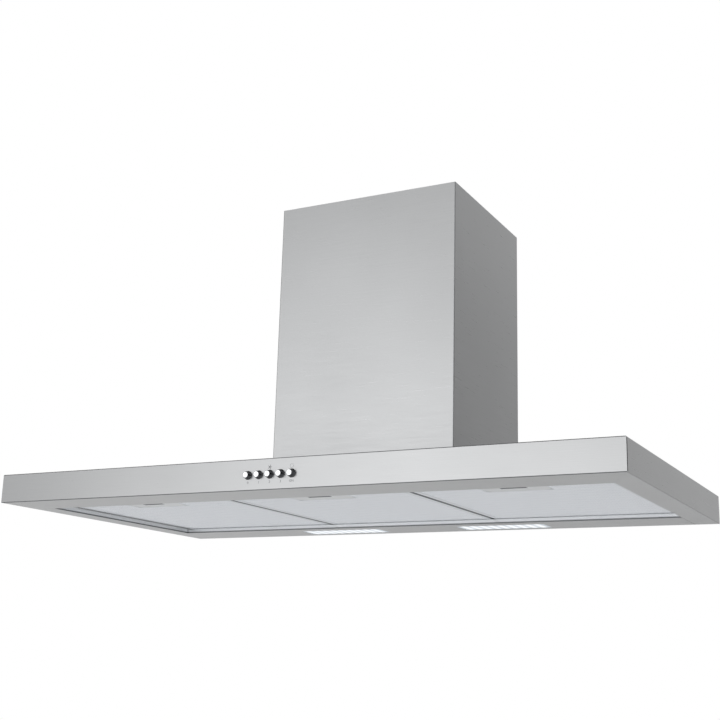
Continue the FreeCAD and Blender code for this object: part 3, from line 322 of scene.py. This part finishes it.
def net_of(side):
    """Expanded mesh: a lattice of diamonds, each one inset and opened, then given its thickness."""
    low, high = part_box("filter_frame_" + side)
    middle = (low + high) / 2
    cells = 2 * math.ceil((high.x - low.x) / net_length / 2 + (high.y - low.y) / net_width / 2) + 2
    bm = bmesh.new()
    # Each cell of this grid is one unit from corner to corner before it is stretched to a diamond
    bmesh.ops.create_grid(bm, x_segments=cells, y_segments=cells, size=cells / math.sqrt(8))
    bmesh.ops.rotate(bm, cent=(0, 0, 0), matrix=Matrix.Rotation(math.radians(45), 3, "Z"), verts=bm.verts)
    bmesh.ops.scale(bm, vec=(net_length, net_width, 1), verts=bm.verts)
    bmesh.ops.translate(bm, vec=(middle.x, middle.y, low.z + net_lift), verts=bm.verts)
    clip_to_window(bm, side)
    # The slivers that the trimming leaves are too narrow to open
    wide = [f for f in bm.faces if 2 * f.calc_area() / f.calc_perimeter() > open_cell_share * net_strand]
    bmesh.ops.inset_individual(bm, faces=wide, thickness=net_strand / 2, use_even_offset=True)
    bmesh.ops.delete(bm, geom=wide, context="FACES_ONLY")
    bmesh.ops.solidify(bm, geom=bm.faces[:], thickness=net_thickness)
    bmesh.ops.recalc_face_normals(bm, faces=bm.faces)
    return bm


def pad_of(side):
    """The layers above the net, as one flat pad."""
    low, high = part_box("filter_frame_" + side)
    middle = (low + high) / 2
    bm = bmesh.new()
    bmesh.ops.create_grid(bm, x_segments=1, y_segments=1, size=1)
    bmesh.ops.scale(bm, vec=((high.x - low.x) / 2, (high.y - low.y) / 2, 1), verts=bm.verts)
    bmesh.ops.translate(bm, vec=(middle.x, middle.y, low.z + pad_lift), verts=bm.verts)
    clip_to_window(bm, side)
    bmesh.ops.solidify(bm, geom=bm.faces[:], thickness=pad_thickness)
    bmesh.ops.recalc_face_normals(bm, faces=bm.faces)
    return bm


def block_in(bm, low, high):
    """Adds a block between two opposite corners."""
    verts = bmesh.ops.create_cube(bm, size=1)["verts"]
    bmesh.ops.scale(bm, vec=high - low, verts=verts)
    bmesh.ops.translate(bm, vec=(low + high) / 2, verts=verts)


def round_edges(bm, edges, radius, steps, clamp=False):
    """Rounds edges to a radius."""
    bmesh.ops.bevel(bm, geom=edges, offset=radius, offset_type="OFFSET", segments=steps, profile=0.5,
                    affect="EDGES", material=-1, clamp_overlap=clamp)


def border_of(side):
    """The frame: a strip folded to a channel round the mesh, with soft edges and a way for the tongue."""
    low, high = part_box("filter_frame_" + side)
    middle_x = (low.x + high.x) / 2
    gap = Vector((side_gap, 0, 0))
    bm = bmesh.new()
    block_in(bm, low + gap, high - gap)
    level = [e for e in bm.edges if abs(e.verts[0].co.z - e.verts[1].co.z) < strip_thickness]
    round_edges(bm, level, rolled_edge, rolled_steps)
    flat = [f for f in bm.faces if abs(f.normal.z) > level_cosine]
    bmesh.ops.inset_individual(bm, faces=flat, thickness=frame_border - rolled_edge)
    bmesh.ops.delete(bm, geom=flat, context="FACES")
    way_low, way_high = low.z + strip_thickness, low.z + tongue_way_top
    cut_along(bm, (middle_x - tongue_way_half, 0, 0), (1, 0, 0))
    cut_along(bm, (middle_x + tongue_way_half, 0, 0), (1, 0, 0))
    cut_along(bm, (0, 0, way_low), (0, 0, 1))
    cut_along(bm, (0, 0, way_high), (0, 0, 1))
    way = []
    for f in bm.faces:
        spot = f.calc_center_median()
        in_front = spot.y < low.y + rolled_edge
        if in_front and abs(spot.x - middle_x) < tongue_way_half and way_low < spot.z < way_high:
            way.append(f)
    bmesh.ops.delete(bm, geom=way, context="FACES")
    bmesh.ops.recalc_face_normals(bm, faces=bm.faces)
    # The rolled edges and walls take the second finish, painted darker as the shade in the grooves between
    # filters
    for f in bm.faces:
        f.smooth = abs(f.normal.z) < level_cosine
        f.material_index = 1 if f.smooth else 0
    bmesh.ops.solidify(bm, geom=bm.faces[:], thickness=strip_thickness)
    return bm


def plain_metal(name, hex_dark, hex_light, mottle, rough, **sockets):
    """Metal with a slow mottle of the given size, and a roughness that varies with it between two values."""
    material, shader = new_material(name, **sockets)
    place = add(material, "TexCoord", {})
    cloud = add(material, "TexNoise", {"Vector": place.outputs["Object"], "Scale": 1 / mottle,
                                       "Detail": 5.0, "Roughness": 0.6})
    colour = add(material, "Mix", {0: cloud.outputs["Fac"], 6: linear(hex_dark), 7: linear(hex_light)},
                 data_type="RGBA")
    haze = add(material, "MapRange", {"Value": cloud.outputs["Fac"], "From Min": noise_low,
                                      "From Max": noise_high, "To Min": rough[0], "To Max": rough[1]})
    bump = add(material, "Bump", {"Height": cloud.outputs["Fac"], "Strength": 0.12, "Distance": mottle_depth})
    feed(material, shader, Base_Color=colour.outputs[2], Roughness=haze.outputs[0], Normal=bump.outputs[0])
    return material


# Plain mill-finish aluminium: pale, slightly blue, with a soft sheen.
mill_aluminium = plain_metal("mill_aluminium", "d9dde1", "eaecef", mottle=14 * MM, rough=(0.38, 0.5),
                             Metallic=0.7)
# The rolled edges and outer walls of the frames, painted darker as the shade in the grooves between the
# filters.
groove_shade_aluminium = plain_metal("aluminium_painted_groove_shade", "666a6e", "84888c", mottle=9 * MM, rough=(0.5, 0.62),
                             Metallic=0.6)
# Expanded aluminium: light scatters among the cut strands, so it looks white and even, with little gloss.
net_aluminium = plain_metal("expanded_aluminium", "eceff3", "f8fafd", mottle=6 * MM, rough=(0.4, 0.55),
                            Metallic=0.2)


def layered_mesh(name):
    """Aluminium mesh seen behind the outer layer: crossing strands over gaps painted darker as shade deeper
    in the stack.
    """
    material, shader = new_material(name, Metallic=0.2, Roughness=0.55)
    place = add(material, "TexCoord", {})
    spot = add(material, "SeparateXYZ", {0: place.outputs["Object"]})
    across = add(material, "Math", {0: spot.outputs["X"], 1: math.pi / layer_length}, operation="MULTIPLY")
    depth = add(material, "Math", {0: spot.outputs["Y"], 1: math.pi / layer_width}, operation="MULTIPLY")
    waves = []
    for operation in ("ADD", "SUBTRACT"):
        mixed = add(material, "Math", {0: across.outputs[0], 1: depth.outputs[0]}, operation=operation)
        wave = add(material, "Math", {0: mixed.outputs[0]}, operation="SINE")
        waves.append(add(material, "Math", {0: wave.outputs[0]}, operation="ABSOLUTE"))
    strand = add(material, "Math", {0: waves[0].outputs[0], 1: waves[1].outputs[0]}, operation="MINIMUM")
    # The gaps between strands are painted darker, as shade deeper in the stack
    shade = add(material, "MapRange", {"Value": strand.outputs[0], "From Min": 0.15, "From Max": 0.5})
    colour = add(material, "Mix", {0: shade.outputs[0], 6: linear("eff1f4"), 7: linear("c6cad0")},
                 data_type="RGBA")
    bump = add(material, "Bump", {"Height": shade.outputs[0], "Strength": 0.4, "Distance": layer_depth},
               invert=True)
    feed(material, shader, Base_Color=colour.outputs[2], Normal=bump.outputs[0])
    return material


pad_material = layered_mesh("stacked_aluminium_mesh")
for side in FILTER_SIDES:
    dress(["filter_tray_" + side], mill_aluminium)
    border = piece_from(border_of(side), "filter_border_" + side, side + "_filter", mill_aluminium,
                        "filter_aluminium", "filter_frame_" + side)
    border.data.materials.append(groove_shade_aluminium)
    piece_from(net_of(side), "filter_net_" + side, side + "_filter", net_aluminium, "filter_aluminium",
               "filter_mesh_" + side)
    piece_from(pad_of(side), "filter_pad_" + side, side + "_filter", pad_material, "filter_aluminium")


# Filter latches: a sliding handle moulded in grey plastic, with a pocket for the fingertips and a tongue that
# goes over the canopy's hem. It runs in the tray at the front of each filter.
latch_body_length = 55 * MM
latch_corner, latch_corner_steps = 10 * MM, 8
latch_edge, latch_edge_steps = 0.9 * MM, 3
latch_sharp_angle, latch_split_angle = math.radians(50), math.radians(35)
pocket_length, pocket_width, pocket_depth = 34 * MM, 16 * MM, 4 * MM
pocket_from_rear = 19 * MM
pocket_slope = 2.2 * MM
tongue_width, tongue_thickness, tongue_lift = 30 * MM, 1.6 * MM, 0.7 * MM
merge_distance = 0.001 * MM
mould_grain, pocket_grain = 0.7 * MM, 1.4 * MM
grain_depth = 0.03 * MM
moulding_mottle = 40 * MM


def moulded_plastic(name, hex_colour, hex_shade, rough, grain=mould_grain):
    """Moulded plastic with the fine spark-eroded grain of its mould, which also varies its roughness."""
    material, shader = new_material(name)
    place = add(material, "TexCoord", {})
    fine = add(material, "TexNoise", {"Vector": place.outputs["Object"], "Scale": 1 / grain, "Detail": 2.0})
    slow = add(material, "TexNoise", {"Vector": place.outputs["Object"], "Scale": 1 / moulding_mottle,
                                      "Detail": 2.0})
    colour = add(material, "Mix", {0: slow.outputs["Fac"], 6: linear(hex_shade), 7: linear(hex_colour)},
                 data_type="RGBA")
    haze = add(material, "MapRange", {"Value": fine.outputs["Fac"], "From Min": noise_low,
                                      "From Max": noise_high, "To Min": rough[0], "To Max": rough[1]})
    bump = add(material, "Bump", {"Height": fine.outputs["Fac"], "Strength": 0.25, "Distance": grain_depth})
    feed(material, shader, Base_Color=colour.outputs[2], Roughness=haze.outputs[0], Normal=bump.outputs[0])
    return material


def latch_of(side):
    """The handle: a plate with round rear corners, a sloped pocket and soft edges, and its tongue."""
    low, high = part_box("filter_latch_" + side)
    middle = (low.x + high.x) / 2
    front = high.y - latch_body_length
    bm = bmesh.new()
    block_in(bm, Vector((low.x, front, low.z)), high)
    rear_corners = [e for e in bm.edges if all(abs(v.co.y - high.y) < MM for v in e.verts)
                    and abs(e.verts[0].co.x - e.verts[1].co.x) < MM]
    round_edges(bm, rear_corners, latch_corner, latch_corner_steps)
    pocket_rear = high.y - pocket_from_rear
    for x in (middle - pocket_length / 2, middle + pocket_length / 2):
        cut_along(bm, (x, 0, 0), (1, 0, 0))
    for y in (pocket_rear - pocket_width, pocket_rear):
        cut_along(bm, (0, y, 0), (0, 1, 0))
    floor = [f for f in bm.faces if f.normal.z < -level_cosine
             and abs(f.calc_center_median().x - middle) < pocket_length / 4
             and abs(f.calc_center_median().y - pocket_rear + pocket_width / 2) < pocket_width / 4]
    # The pocket's faces take the second finish, painted darker as the shade inside it
    for f in floor:
        f.material_index = 1
    made = bmesh.ops.extrude_discrete_faces(bm, faces=floor)["faces"]
    for f in {f for face in made for e in face.edges for f in e.link_faces}:
        f.material_index = 1
    roof = list({v for f in made for v in f.verts})
    bmesh.ops.translate(bm, vec=(0, 0, pocket_depth), verts=roof)
    # The roof of the pocket is shorter than its mouth, so that its front wall slopes
    for v in roof:
        if v.co.y < pocket_rear - pocket_width / 2:
            v.co.y += pocket_slope
    bmesh.ops.remove_doubles(bm, verts=bm.verts, dist=merge_distance)
    sharp = [e for e in bm.edges if len(e.link_faces) == 2 and e.calc_face_angle() > latch_sharp_angle]
    round_edges(bm, sharp, latch_edge, latch_edge_steps, clamp=True)
    tongue_low = Vector((middle - tongue_width / 2, low.y, low.z + tongue_lift))
    tongue_size = Vector((tongue_width, front - low.y + latch_edge, tongue_thickness))
    block_in(bm, tongue_low, tongue_low + tongue_size)
    bmesh.ops.recalc_face_normals(bm, faces=bm.faces)
    return bm


# Pale grey ABS: a satin moulding, close in tone to the aluminium round it.
grey_plastic = moulded_plastic("grey_moulded_abs", "e2e4e6", "d8dadc", rough=(0.3, 0.42))
# The same plastic, painted darker as the shade inside the pocket, with the coarse dull grain of the pocket.
pocket_shade_plastic = moulded_plastic("grey_abs_painted_pocket_shade", "85888b", "74777a", rough=(0.55, 0.7),
                                 grain=pocket_grain)
for side in FILTER_SIDES:
    handle = piece_from(latch_of(side), "latch_handle_" + side, side + "_latch", grey_plastic, "latch",
                        "filter_latch_" + side)
    handle.data.materials.append(pocket_shade_plastic)
    handle.data.shade_smooth()
    handle.modifiers.new("edges", "EDGE_SPLIT").split_angle = latch_split_angle


# Push buttons: turned brass, chrome plated, with a bright flat end and a skirt with a painted dark
# reflection. Each one travels 3.5 mm against the switch behind the front.
BUTTONS = range(1, 6)
button_steps = 48
button_dish, button_lip = 0.12 * MM, 0.02 * MM
button_face_radius, button_cap_radius = 3.7 * MM, 4.75 * MM
button_cone = 2.6 * MM
button_collar, button_skirt_end = 6.6 * MM, 11.8 * MM
button_edge, button_edge_steps = 0.35 * MM, 3
button_sharp_angle = math.radians(25)
button_chrome_depth = 0.1 * MM
dish_share, skirt_end_share = 0.8, 0.6


def button_of(number):
    """The cap, spun round its axis from its profile."""
    low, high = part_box("button_" + str(number))
    axis_x, axis_z = (low.x + high.x) / 2, (low.z + high.z) / 2
    radius = (high.x - low.x) / 2
    bm = bmesh.new()
    outline = [(0, button_dish), (button_face_radius * dish_share, button_lip), (button_face_radius, 0),
               (button_cap_radius, button_cone), (button_cap_radius, button_collar - button_edge),
               (radius, button_collar), (radius, button_skirt_end),
               (radius * skirt_end_share, button_skirt_end)]
    points = [bm.verts.new((axis_x + r, low.y + depth, axis_z)) for r, depth in outline]
    for a, b in zip(points, points[1:]):
        bm.edges.new((a, b))
    bmesh.ops.spin(bm, geom=bm.verts[:] + bm.edges[:], cent=(axis_x, 0, axis_z), axis=(0, 1, 0),
                   angle=math.tau, steps=button_steps, use_merge=True)
    bmesh.ops.remove_doubles(bm, verts=bm.verts, dist=merge_distance)
    bmesh.ops.holes_fill(bm, edges=[e for e in bm.edges if e.is_boundary])
    bmesh.ops.recalc_face_normals(bm, faces=bm.faces)
    # Behind the bright end, the faces take the skirt's chrome with its painted dark reflection
    for f in bm.faces:
        f.smooth = True
        f.material_index = 0 if f.calc_center_median().y < low.y + button_chrome_depth else 1
    return bm


# Bright chrome plate: reflects like a mirror, with a faint haze from handling.
chrome = plain_metal("bright_chrome_plate", "e2e4e6", "f2f3f4", mottle=3 * MM, rough=(0.08, 0.14),
                     Metallic=1.0)
# The skirt's chrome with a painted dark reflection: dark, with a narrow bright reflection.
skirt_dark_reflection = plain_metal("chrome_painted_dark_reflection", "4c4d50", "5e5f62", mottle=3 * MM, rough=(0.16, 0.24),
                         Metallic=1.0)
for number in BUTTONS:
    cap = piece_from(button_of(number), "button_cap_" + str(number), "push_button_" + str(number), chrome,
                     "chrome", "button_" + str(number))
    cap.data.materials.append(skirt_dark_reflection)
    rounded = cap.modifiers.new("edge", "BEVEL")
    rounded.width, rounded.segments = button_edge, button_edge_steps
    rounded.limit_method, rounded.angle_limit = "ANGLE", button_sharp_angle


# Printed marks: the speed numbers, a fan sign and a lamp sign, screen-printed in grey on the steel round the
# buttons. The print is 0.02 mm thick.
print_lift = 0.02 * MM
digit_size, word_size = 4.4 * MM, 4.2 * MM
mark_drop, mark_rise = 9.6 * MM, 9.2 * MM
sign_radius, sign_line = 2.9 * MM, 0.65 * MM
ring_steps = 24
fan_blades, lamp_rays = 5, 8
bulb_share, ray_start_share = 0.5, 0.7


def stand_on_front(bm, verts, x, z):
    """Turns a flat mark upright and puts it on the canopy's front."""
    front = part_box("canopy_shell")[0].y
    bmesh.ops.rotate(bm, cent=(0, 0, 0), matrix=Matrix.Rotation(math.radians(90), 3, "X"), verts=verts)
    bmesh.ops.translate(bm, vec=(x, front - print_lift, z), verts=verts)


def text_mark(bm, text, size, x, z):
    """Adds flat text, centred on a place of the front."""
    curve = bpy.data.curves.new("mark", "FONT")
    curve.body, curve.size, curve.align_x, curve.align_y = text, size, "CENTER", "CENTER"
    holder = bpy.data.objects.new("mark", curve)
    mesh = bpy.data.meshes.new_from_object(holder)
    before = set(bm.verts)
    bm.from_mesh(mesh)
    stand_on_front(bm, [v for v in bm.verts if v not in before], x, z)
    bpy.data.objects.remove(holder)
    bpy.data.curves.remove(curve)
    bpy.data.meshes.remove(mesh)


def ring_mark(bm, radius, x, z):
    """Adds a thin ring."""
    before = set(bm.verts)
    rim = bmesh.ops.create_circle(bm, cap_ends=True, radius=radius, segments=ring_steps)["verts"]
    disc = rim[0].link_faces[0]
    bmesh.ops.inset_region(bm, faces=[disc], thickness=sign_line)
    bmesh.ops.delete(bm, geom=[disc], context="FACES_ONLY")
    stand_on_front(bm, [v for v in bm.verts if v not in before], x, z)


def ray_marks(bm, inner, outer, count, x, z):
    """Adds short lines that point outwards from a place."""
    for i in range(count):
        turn = Matrix.Rotation(math.tau * i / count, 3, "Z")
        verts = bmesh.ops.create_grid(bm, x_segments=1, y_segments=1, size=0.5)["verts"]
        bmesh.ops.scale(bm, vec=(outer - inner, sign_line, 1), verts=verts)
        bmesh.ops.translate(bm, vec=((inner + outer) / 2, 0, 0), verts=verts)
        bmesh.ops.rotate(bm, cent=(0, 0, 0), matrix=turn, verts=verts)
        stand_on_front(bm, verts, x, z)


def printed_marks():
    """All the marks as one flat mesh."""
    bm = bmesh.new()
    places = []
    for number in BUTTONS:
        low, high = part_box("button_" + str(number))
        places.append((low + high) / 2)
    below, above = places[0].z - mark_drop, places[0].z + mark_rise
    fan_x, lamp_x = places[2].x, places[4].x
    for place, digit in zip(places, "0123"):
        text_mark(bm, digit, digit_size, place.x, below)
    text_mark(bm, "ON", word_size, lamp_x, below)
    ring_mark(bm, sign_radius, fan_x, above)
    ray_marks(bm, 0, sign_radius, fan_blades, fan_x, above)
    ring_mark(bm, sign_radius * bulb_share, lamp_x, above)
    ray_marks(bm, sign_radius * ray_start_share, sign_radius, lamp_rays, lamp_x, above)
    return bm


# Screen-printing ink: matt mid-grey, slightly uneven in tone.
ink = moulded_plastic("grey_screen_ink", "6e7073", "646669", rough=(0.5, 0.6))
piece_from(printed_marks(), "printed_marks", "hood", ink, "black_plastic")


# Lamps: an LED board in a white housing behind each of two frosted covers in the rear strip. The covers are
# moulded in polycarbonate, and their rims rest on the strip from above.
led_row, led_gaps = 132 * MM, 9
led_pitch = led_row / led_gaps
lit_half, lit_fade = 68 * MM, 6 * MM
lens_edge, lens_edge_steps = 0.4 * MM, 3
lens_rim_width, lens_rim_thickness = 2.8 * MM, 1.5 * MM


def lit_cover(name, lamp_x):
    """Frosted cover with its lamp on: brightest below each emitter."""
    material, shader = new_material(name, Roughness=0.35, IOR=1.58, Emission_Strength=0.75,
                                    Base_Color=linear("bcc2c8"))
    place = add(material, "TexCoord", {})
    spot = add(material, "SeparateXYZ", {0: place.outputs["Object"]})
    from_middle = add(material, "Math", {0: spot.outputs["X"]}, operation="ABSOLUTE")
    from_lamp = add(material, "Math", {0: from_middle.outputs[0], 1: lamp_x}, operation="SUBTRACT")
    turn = add(material, "Math", {0: from_lamp.outputs[0], 1: math.tau / led_pitch}, operation="MULTIPLY")
    wave = add(material, "Math", {0: turn.outputs[0]}, operation="COSINE")
    glow = add(material, "MapRange", {"Value": wave.outputs[0], "From Min": -1.0, "From Max": 1.0})
    to_end = add(material, "Math", {0: from_lamp.outputs[0]}, operation="ABSOLUTE")
    fade = add(material, "MapRange", {"Value": to_end.outputs[0], "From Min": lit_half - lit_fade,
                                      "From Max": lit_half, "To Min": 1.0, "To Max": 0.2})
    colour = add(material, "Mix", {0: glow.outputs[0], 6: linear("a5adb6"), 7: linear("fbfdff")},
                 data_type="RGBA")
    colour = add(material, "Mix", {0: fade.outputs[0], 6: linear("6f757b"), 7: colour.outputs[2]},
                 data_type="RGBA")
    feed(material, shader, Emission_Color=colour.outputs[2])
    return material


def lens_of(side):
    """The cover's window and the rim that rests on the strip."""
    low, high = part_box("lamp_lens_" + side)
    rim = Vector((lens_rim_width, lens_rim_width, 0))
    bm = bmesh.new()
    block_in(bm, low + rim, high - rim)
    lower_edges = [e for e in bm.edges if e.verts[0].co.z + e.verts[1].co.z < low.z + high.z - MM]
    round_edges(bm, lower_edges, lens_edge, lens_edge_steps)
    block_in(bm, Vector((low.x, low.y, high.z - lens_rim_thickness)), high)
    return bm


# White ABS: a plain moulding, slightly warm in tone, with a dull satin surface.
white_plastic = moulded_plastic("white_moulded_abs", "e4e4e1", "d9d9d6", rough=(0.4, 0.5))
# Solder resist on the lamp boards: a warm white, a little glossier than the plastic.
board_coat = moulded_plastic("white_lamp_board", "eceae2", "e2e0d8", rough=(0.35, 0.45))
for side in ("left", "right"):
    low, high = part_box("lamp_lens_" + side)
    lit = lit_cover("frosted_polycarbonate_lit_" + side, abs(low.x + high.x) / 2)
    piece_from(lens_of(side), "lamp_cover_" + side, "hood", lit, "lens", "lamp_lens_" + side)
    dress(["lamp_housing_" + side], white_plastic)
    dress(["led_board_" + side], board_coat)


# Mouldings inside: the connection box, the driver and the capacitor's case are white, and the switch block,
# the gland, the fan's housing and the spigot with its flaps are black. They clip or screw to the sheet.

# Black ABS: nearly black, with a dull satin surface.
black_plastic = moulded_plastic("black_moulded_abs", "232425", "1b1c1d", rough=(0.42, 0.55))
dress(["led_driver", "terminal_box", "terminal_lid", "terminal_block", "capacitor"], white_plastic)
dress(["switch_block", "cable_gland", "outlet_spigot", "flap_front", "flap_rear", "scroll_left",
       "scroll_right"], black_plastic)


# Motor box, wall bracket and the other hidden brackets: pressed from hot-dip galvanised sheet, folded, and
# held by hooks and screws. The fan's wheel is of the same sheet.
spangle_size, spangle_depth = 11 * MM, 0.05 * MM


def galvanised(name):
    """Zinc with its frost-like spangle: cells of slightly different grey and gloss."""
    material, shader = new_material(name, Metallic=0.9)
    place = add(material, "TexCoord", {})
    cells = add(material, "TexVoronoi", {"Vector": place.outputs["Object"], "Scale": 1 / spangle_size})
    shade = add(material, "SeparateColor", {0: cells.outputs["Color"]})
    colour = add(material, "Mix", {0: shade.outputs["Red"], 6: linear("a0a4a7"), 7: linear("b9bdbf")},
                 data_type="RGBA")
    rough = add(material, "MapRange", {"Value": shade.outputs["Green"], "To Min": 0.32, "To Max": 0.55})
    bump = add(material, "Bump", {"Height": cells.outputs["Distance"], "Strength": 0.08,
                                  "Distance": spangle_depth})
    feed(material, shader, Base_Color=colour.outputs[2], Roughness=rough.outputs[0], Normal=bump.outputs[0])
    return material


# Hot-dip galvanised sheet: pale grey in patches, each of which catches the light a little differently.
zinc_sheet = galvanised("hot_dip_galvanised_sheet")
dress(["motor_box", "motor_box_top", "motor_box_back", "wall_bracket", "chimney_bracket", "switch_bracket",
       "motor_mount", "impeller"], zinc_sheet)


# Motor, shaft, pin and screws: plain machine finishes. The motor's shell is pressed and lacquered, and the
# turned parts are zinc plated.

# Bright zinc plate: pale and slightly blue, with a haze over its reflections.
zinc_plate = plain_metal("bright_zinc_plate", "9fa5aa", "c2c7cb", mottle=4 * MM, rough=(0.25, 0.4),
                         Metallic=1.0)
# Stoved lacquer: an even dark grey with a satin gloss.
motor_lacquer = moulded_plastic("grey_motor_lacquer", "5b5f62", "4f5356", rough=(0.35, 0.5))
dress(["motor"], motor_lacquer)
dress(["fan_shaft", "flap_pin", "bracket_screws", "chimney_screws", "box_screws", "motor_screws",
       "spigot_screws"], zinc_plate)


# Stage: a pale floor far below the hood, a studio that is brightest in front, one soft lamp on the right and
# the photograph's camera. The floor shows white to the camera and gives the underside a weaker light.
floor_height = -1600 * MM
floor_radius, floor_steps = 4000 * MM, 64
camera_share, glossy_share, diffuse_share = 0.6, 0.3, 0.2
bm = bmesh.new()
bmesh.ops.create_circle(bm, cap_ends=True, radius=floor_radius, segments=floor_steps)
bmesh.ops.translate(bm, vec=(0, 0, floor_height), verts=bm.verts)
floor_mesh = bpy.data.meshes.new("floor")
bm.to_mesh(floor_mesh)
bm.free()
floor = bpy.data.objects.new("floor", floor_mesh)
bpy.context.scene.collection.objects.link(floor)
floor_paint, floor_shader = new_material("pale_floor", Roughness=0.9, Base_Color=linear("f0f0f0"),
                                         Emission_Color=linear("ffffff"))
paths = add(floor_paint, "LightPath", {})
shine = add(floor_paint, "Math", {0: paths.outputs["Is Camera Ray"], 1: camera_share}, operation="MULTIPLY")
for ray, share in (("Is Glossy Ray", glossy_share), ("Is Diffuse Ray", diffuse_share)):
    shine = add(floor_paint, "Math", {0: paths.outputs[ray], 1: share, 2: shine.outputs[0]},
                operation="MULTIPLY_ADD")
feed(floor_paint, floor_shader, Emission_Strength=shine.outputs[0])
# From below, the floor isn't seen
see_through = add(floor_paint, "BsdfTransparent", {})
side_seen = add(floor_paint, "NewGeometry", {})
mixed = add(floor_paint, "MixShader", {0: side_seen.outputs["Backfacing"], 1: floor_shader.outputs[0],
                                       2: see_through.outputs[0]})
floor_paint.node_tree.links.new(mixed.outputs[0], floor_paint.node_tree.nodes["Material Output"].inputs[0])
floor_mesh.materials.append(floor_paint)

world = bpy.data.worlds.new("studio")
world.use_nodes = True
bpy.context.scene.world = world
backdrop = world.node_tree.nodes["Background"]
paths = add(world, "LightPath", {})
looking = add(world, "TexCoord", {})
towards = add(world, "SeparateXYZ", {0: looking.outputs["Generated"]})
# Ahead of the hood: brightest a little to the left, weaker at the far left, to the right and overhead
far_left = add(world, "MapRange", {"Value": towards.outputs["X"], "From Min": -0.87, "From Max": -0.45,
                                   "To Min": 0.12, "To Max": 1.8}, interpolation_type="SMOOTHSTEP")
to_right = add(world, "MapRange", {"Value": towards.outputs["X"], "From Min": -0.45, "From Max": 0.1,
                                   "To Min": 1.8, "To Max": 1.08})
across = add(world, "Math", {0: far_left.outputs[0], 1: to_right.outputs[0]}, operation="MINIMUM")
overhead = add(world, "MapRange", {"Value": towards.outputs["Z"], "From Min": 0.17, "From Max": 0.44,
                                   "To Min": 1.0, "To Max": 0.22})
ahead = add(world, "Math", {0: across.outputs[0], 1: overhead.outputs[0]}, operation="MULTIPLY")
# Behind it: dimmer, darkest low on the right, and pale below the horizon
to_corner = add(world, "MapRange", {"Value": towards.outputs["X"], "From Min": 0.2, "From Max": 0.45,
                                    "To Min": 0.59, "To Max": 0.12})
higher = add(world, "MapRange", {"Value": towards.outputs["Z"], "From Min": 0.15, "From Max": 0.5,
                                 "To Min": 0.0, "To Max": 0.3})
behind = add(world, "Math", {0: to_corner.outputs[0], 1: higher.outputs[0]}, operation="ADD")
below = add(world, "MapRange", {"Value": towards.outputs["Z"], "From Min": 0.06, "From Max": -0.08})
left_ground = add(world, "MapRange", {"Value": towards.outputs["X"], "From Min": -0.55, "From Max": -0.35,
                                      "To Min": 0.61, "To Max": 0.42})
right_ground = add(world, "MapRange", {"Value": towards.outputs["X"], "From Min": 0.15, "From Max": 0.4,
                                       "To Min": 0.0, "To Max": 0.28})
ground = add(world, "Math", {0: left_ground.outputs[0], 1: right_ground.outputs[0]}, operation="ADD")
behind = add(world, "Mix", {0: below.outputs[0], 2: behind.outputs[0], 3: ground.outputs[0]})
in_front = add(world, "MapRange", {"Value": towards.outputs["Y"], "From Min": 0.25, "From Max": -0.25})
studio = add(world, "Mix", {0: in_front.outputs[0], 2: behind.outputs[0], 3: ahead.outputs[0]})
# White for the camera
strength = add(world, "Mix", {0: paths.outputs["Is Camera Ray"], 2: studio.outputs[0], 3: 1.0})
world.node_tree.links.new(strength.outputs[0], backdrop.inputs["Strength"])
backdrop.inputs["Color"].default_value = linear("ffffff")

# A large soft lamp, high on the right
lamp_place, lamp_target = Vector((1900, -1700, 2200)) * MM, Vector((0, -250, 200)) * MM
lamp_width, lamp_height, lamp_watts = 1800 * MM, 1400 * MM, 12
lamp = bpy.data.lights.new("right_lamp", "AREA")
lamp.shape, lamp.size, lamp.size_y, lamp.energy = "RECTANGLE", lamp_width, lamp_height, lamp_watts
lamp_holder = bpy.data.objects.new("right_lamp", lamp)
lamp_holder.location = lamp_place
lamp_holder.rotation_euler = (lamp_target - lamp_place).to_track_quat("-Z", "Y").to_euler()
bpy.context.scene.collection.objects.link(lamp_holder)

# The camera stands right of the hood and below it, and looks up to the left
camera_place = Vector((789.4, -1758.7, -211.1)) * MM
camera_yaw, camera_pitch, camera_roll = (math.radians(a) for a in (-27.834, 14.335, 1.578))
camera_lens, camera_sensor = 59.975, 36
sideways = Vector((math.cos(camera_yaw), -math.sin(camera_yaw), 0))
level_ahead = Vector((math.sin(camera_yaw), math.cos(camera_yaw), 0))
forward = level_ahead * math.cos(camera_pitch) + Vector((0, 0, math.sin(camera_pitch)))
upwards = sideways.cross(forward)
right = math.cos(camera_roll) * sideways + math.sin(camera_roll) * upwards
up = math.cos(camera_roll) * upwards - math.sin(camera_roll) * sideways
camera = bpy.data.objects.new("camera", bpy.data.cameras.new("camera"))
camera.data.lens, camera.data.sensor_width = camera_lens, camera_sensor
camera.matrix_world = Matrix((right, up, -forward)).transposed().to_4x4()
camera.location = camera_place
bpy.context.scene.collection.objects.link(camera)
bpy.context.scene.camera = camera
bpy.context.scene.view_settings.view_transform = "Standard"

bpy.context.view_layer.update()
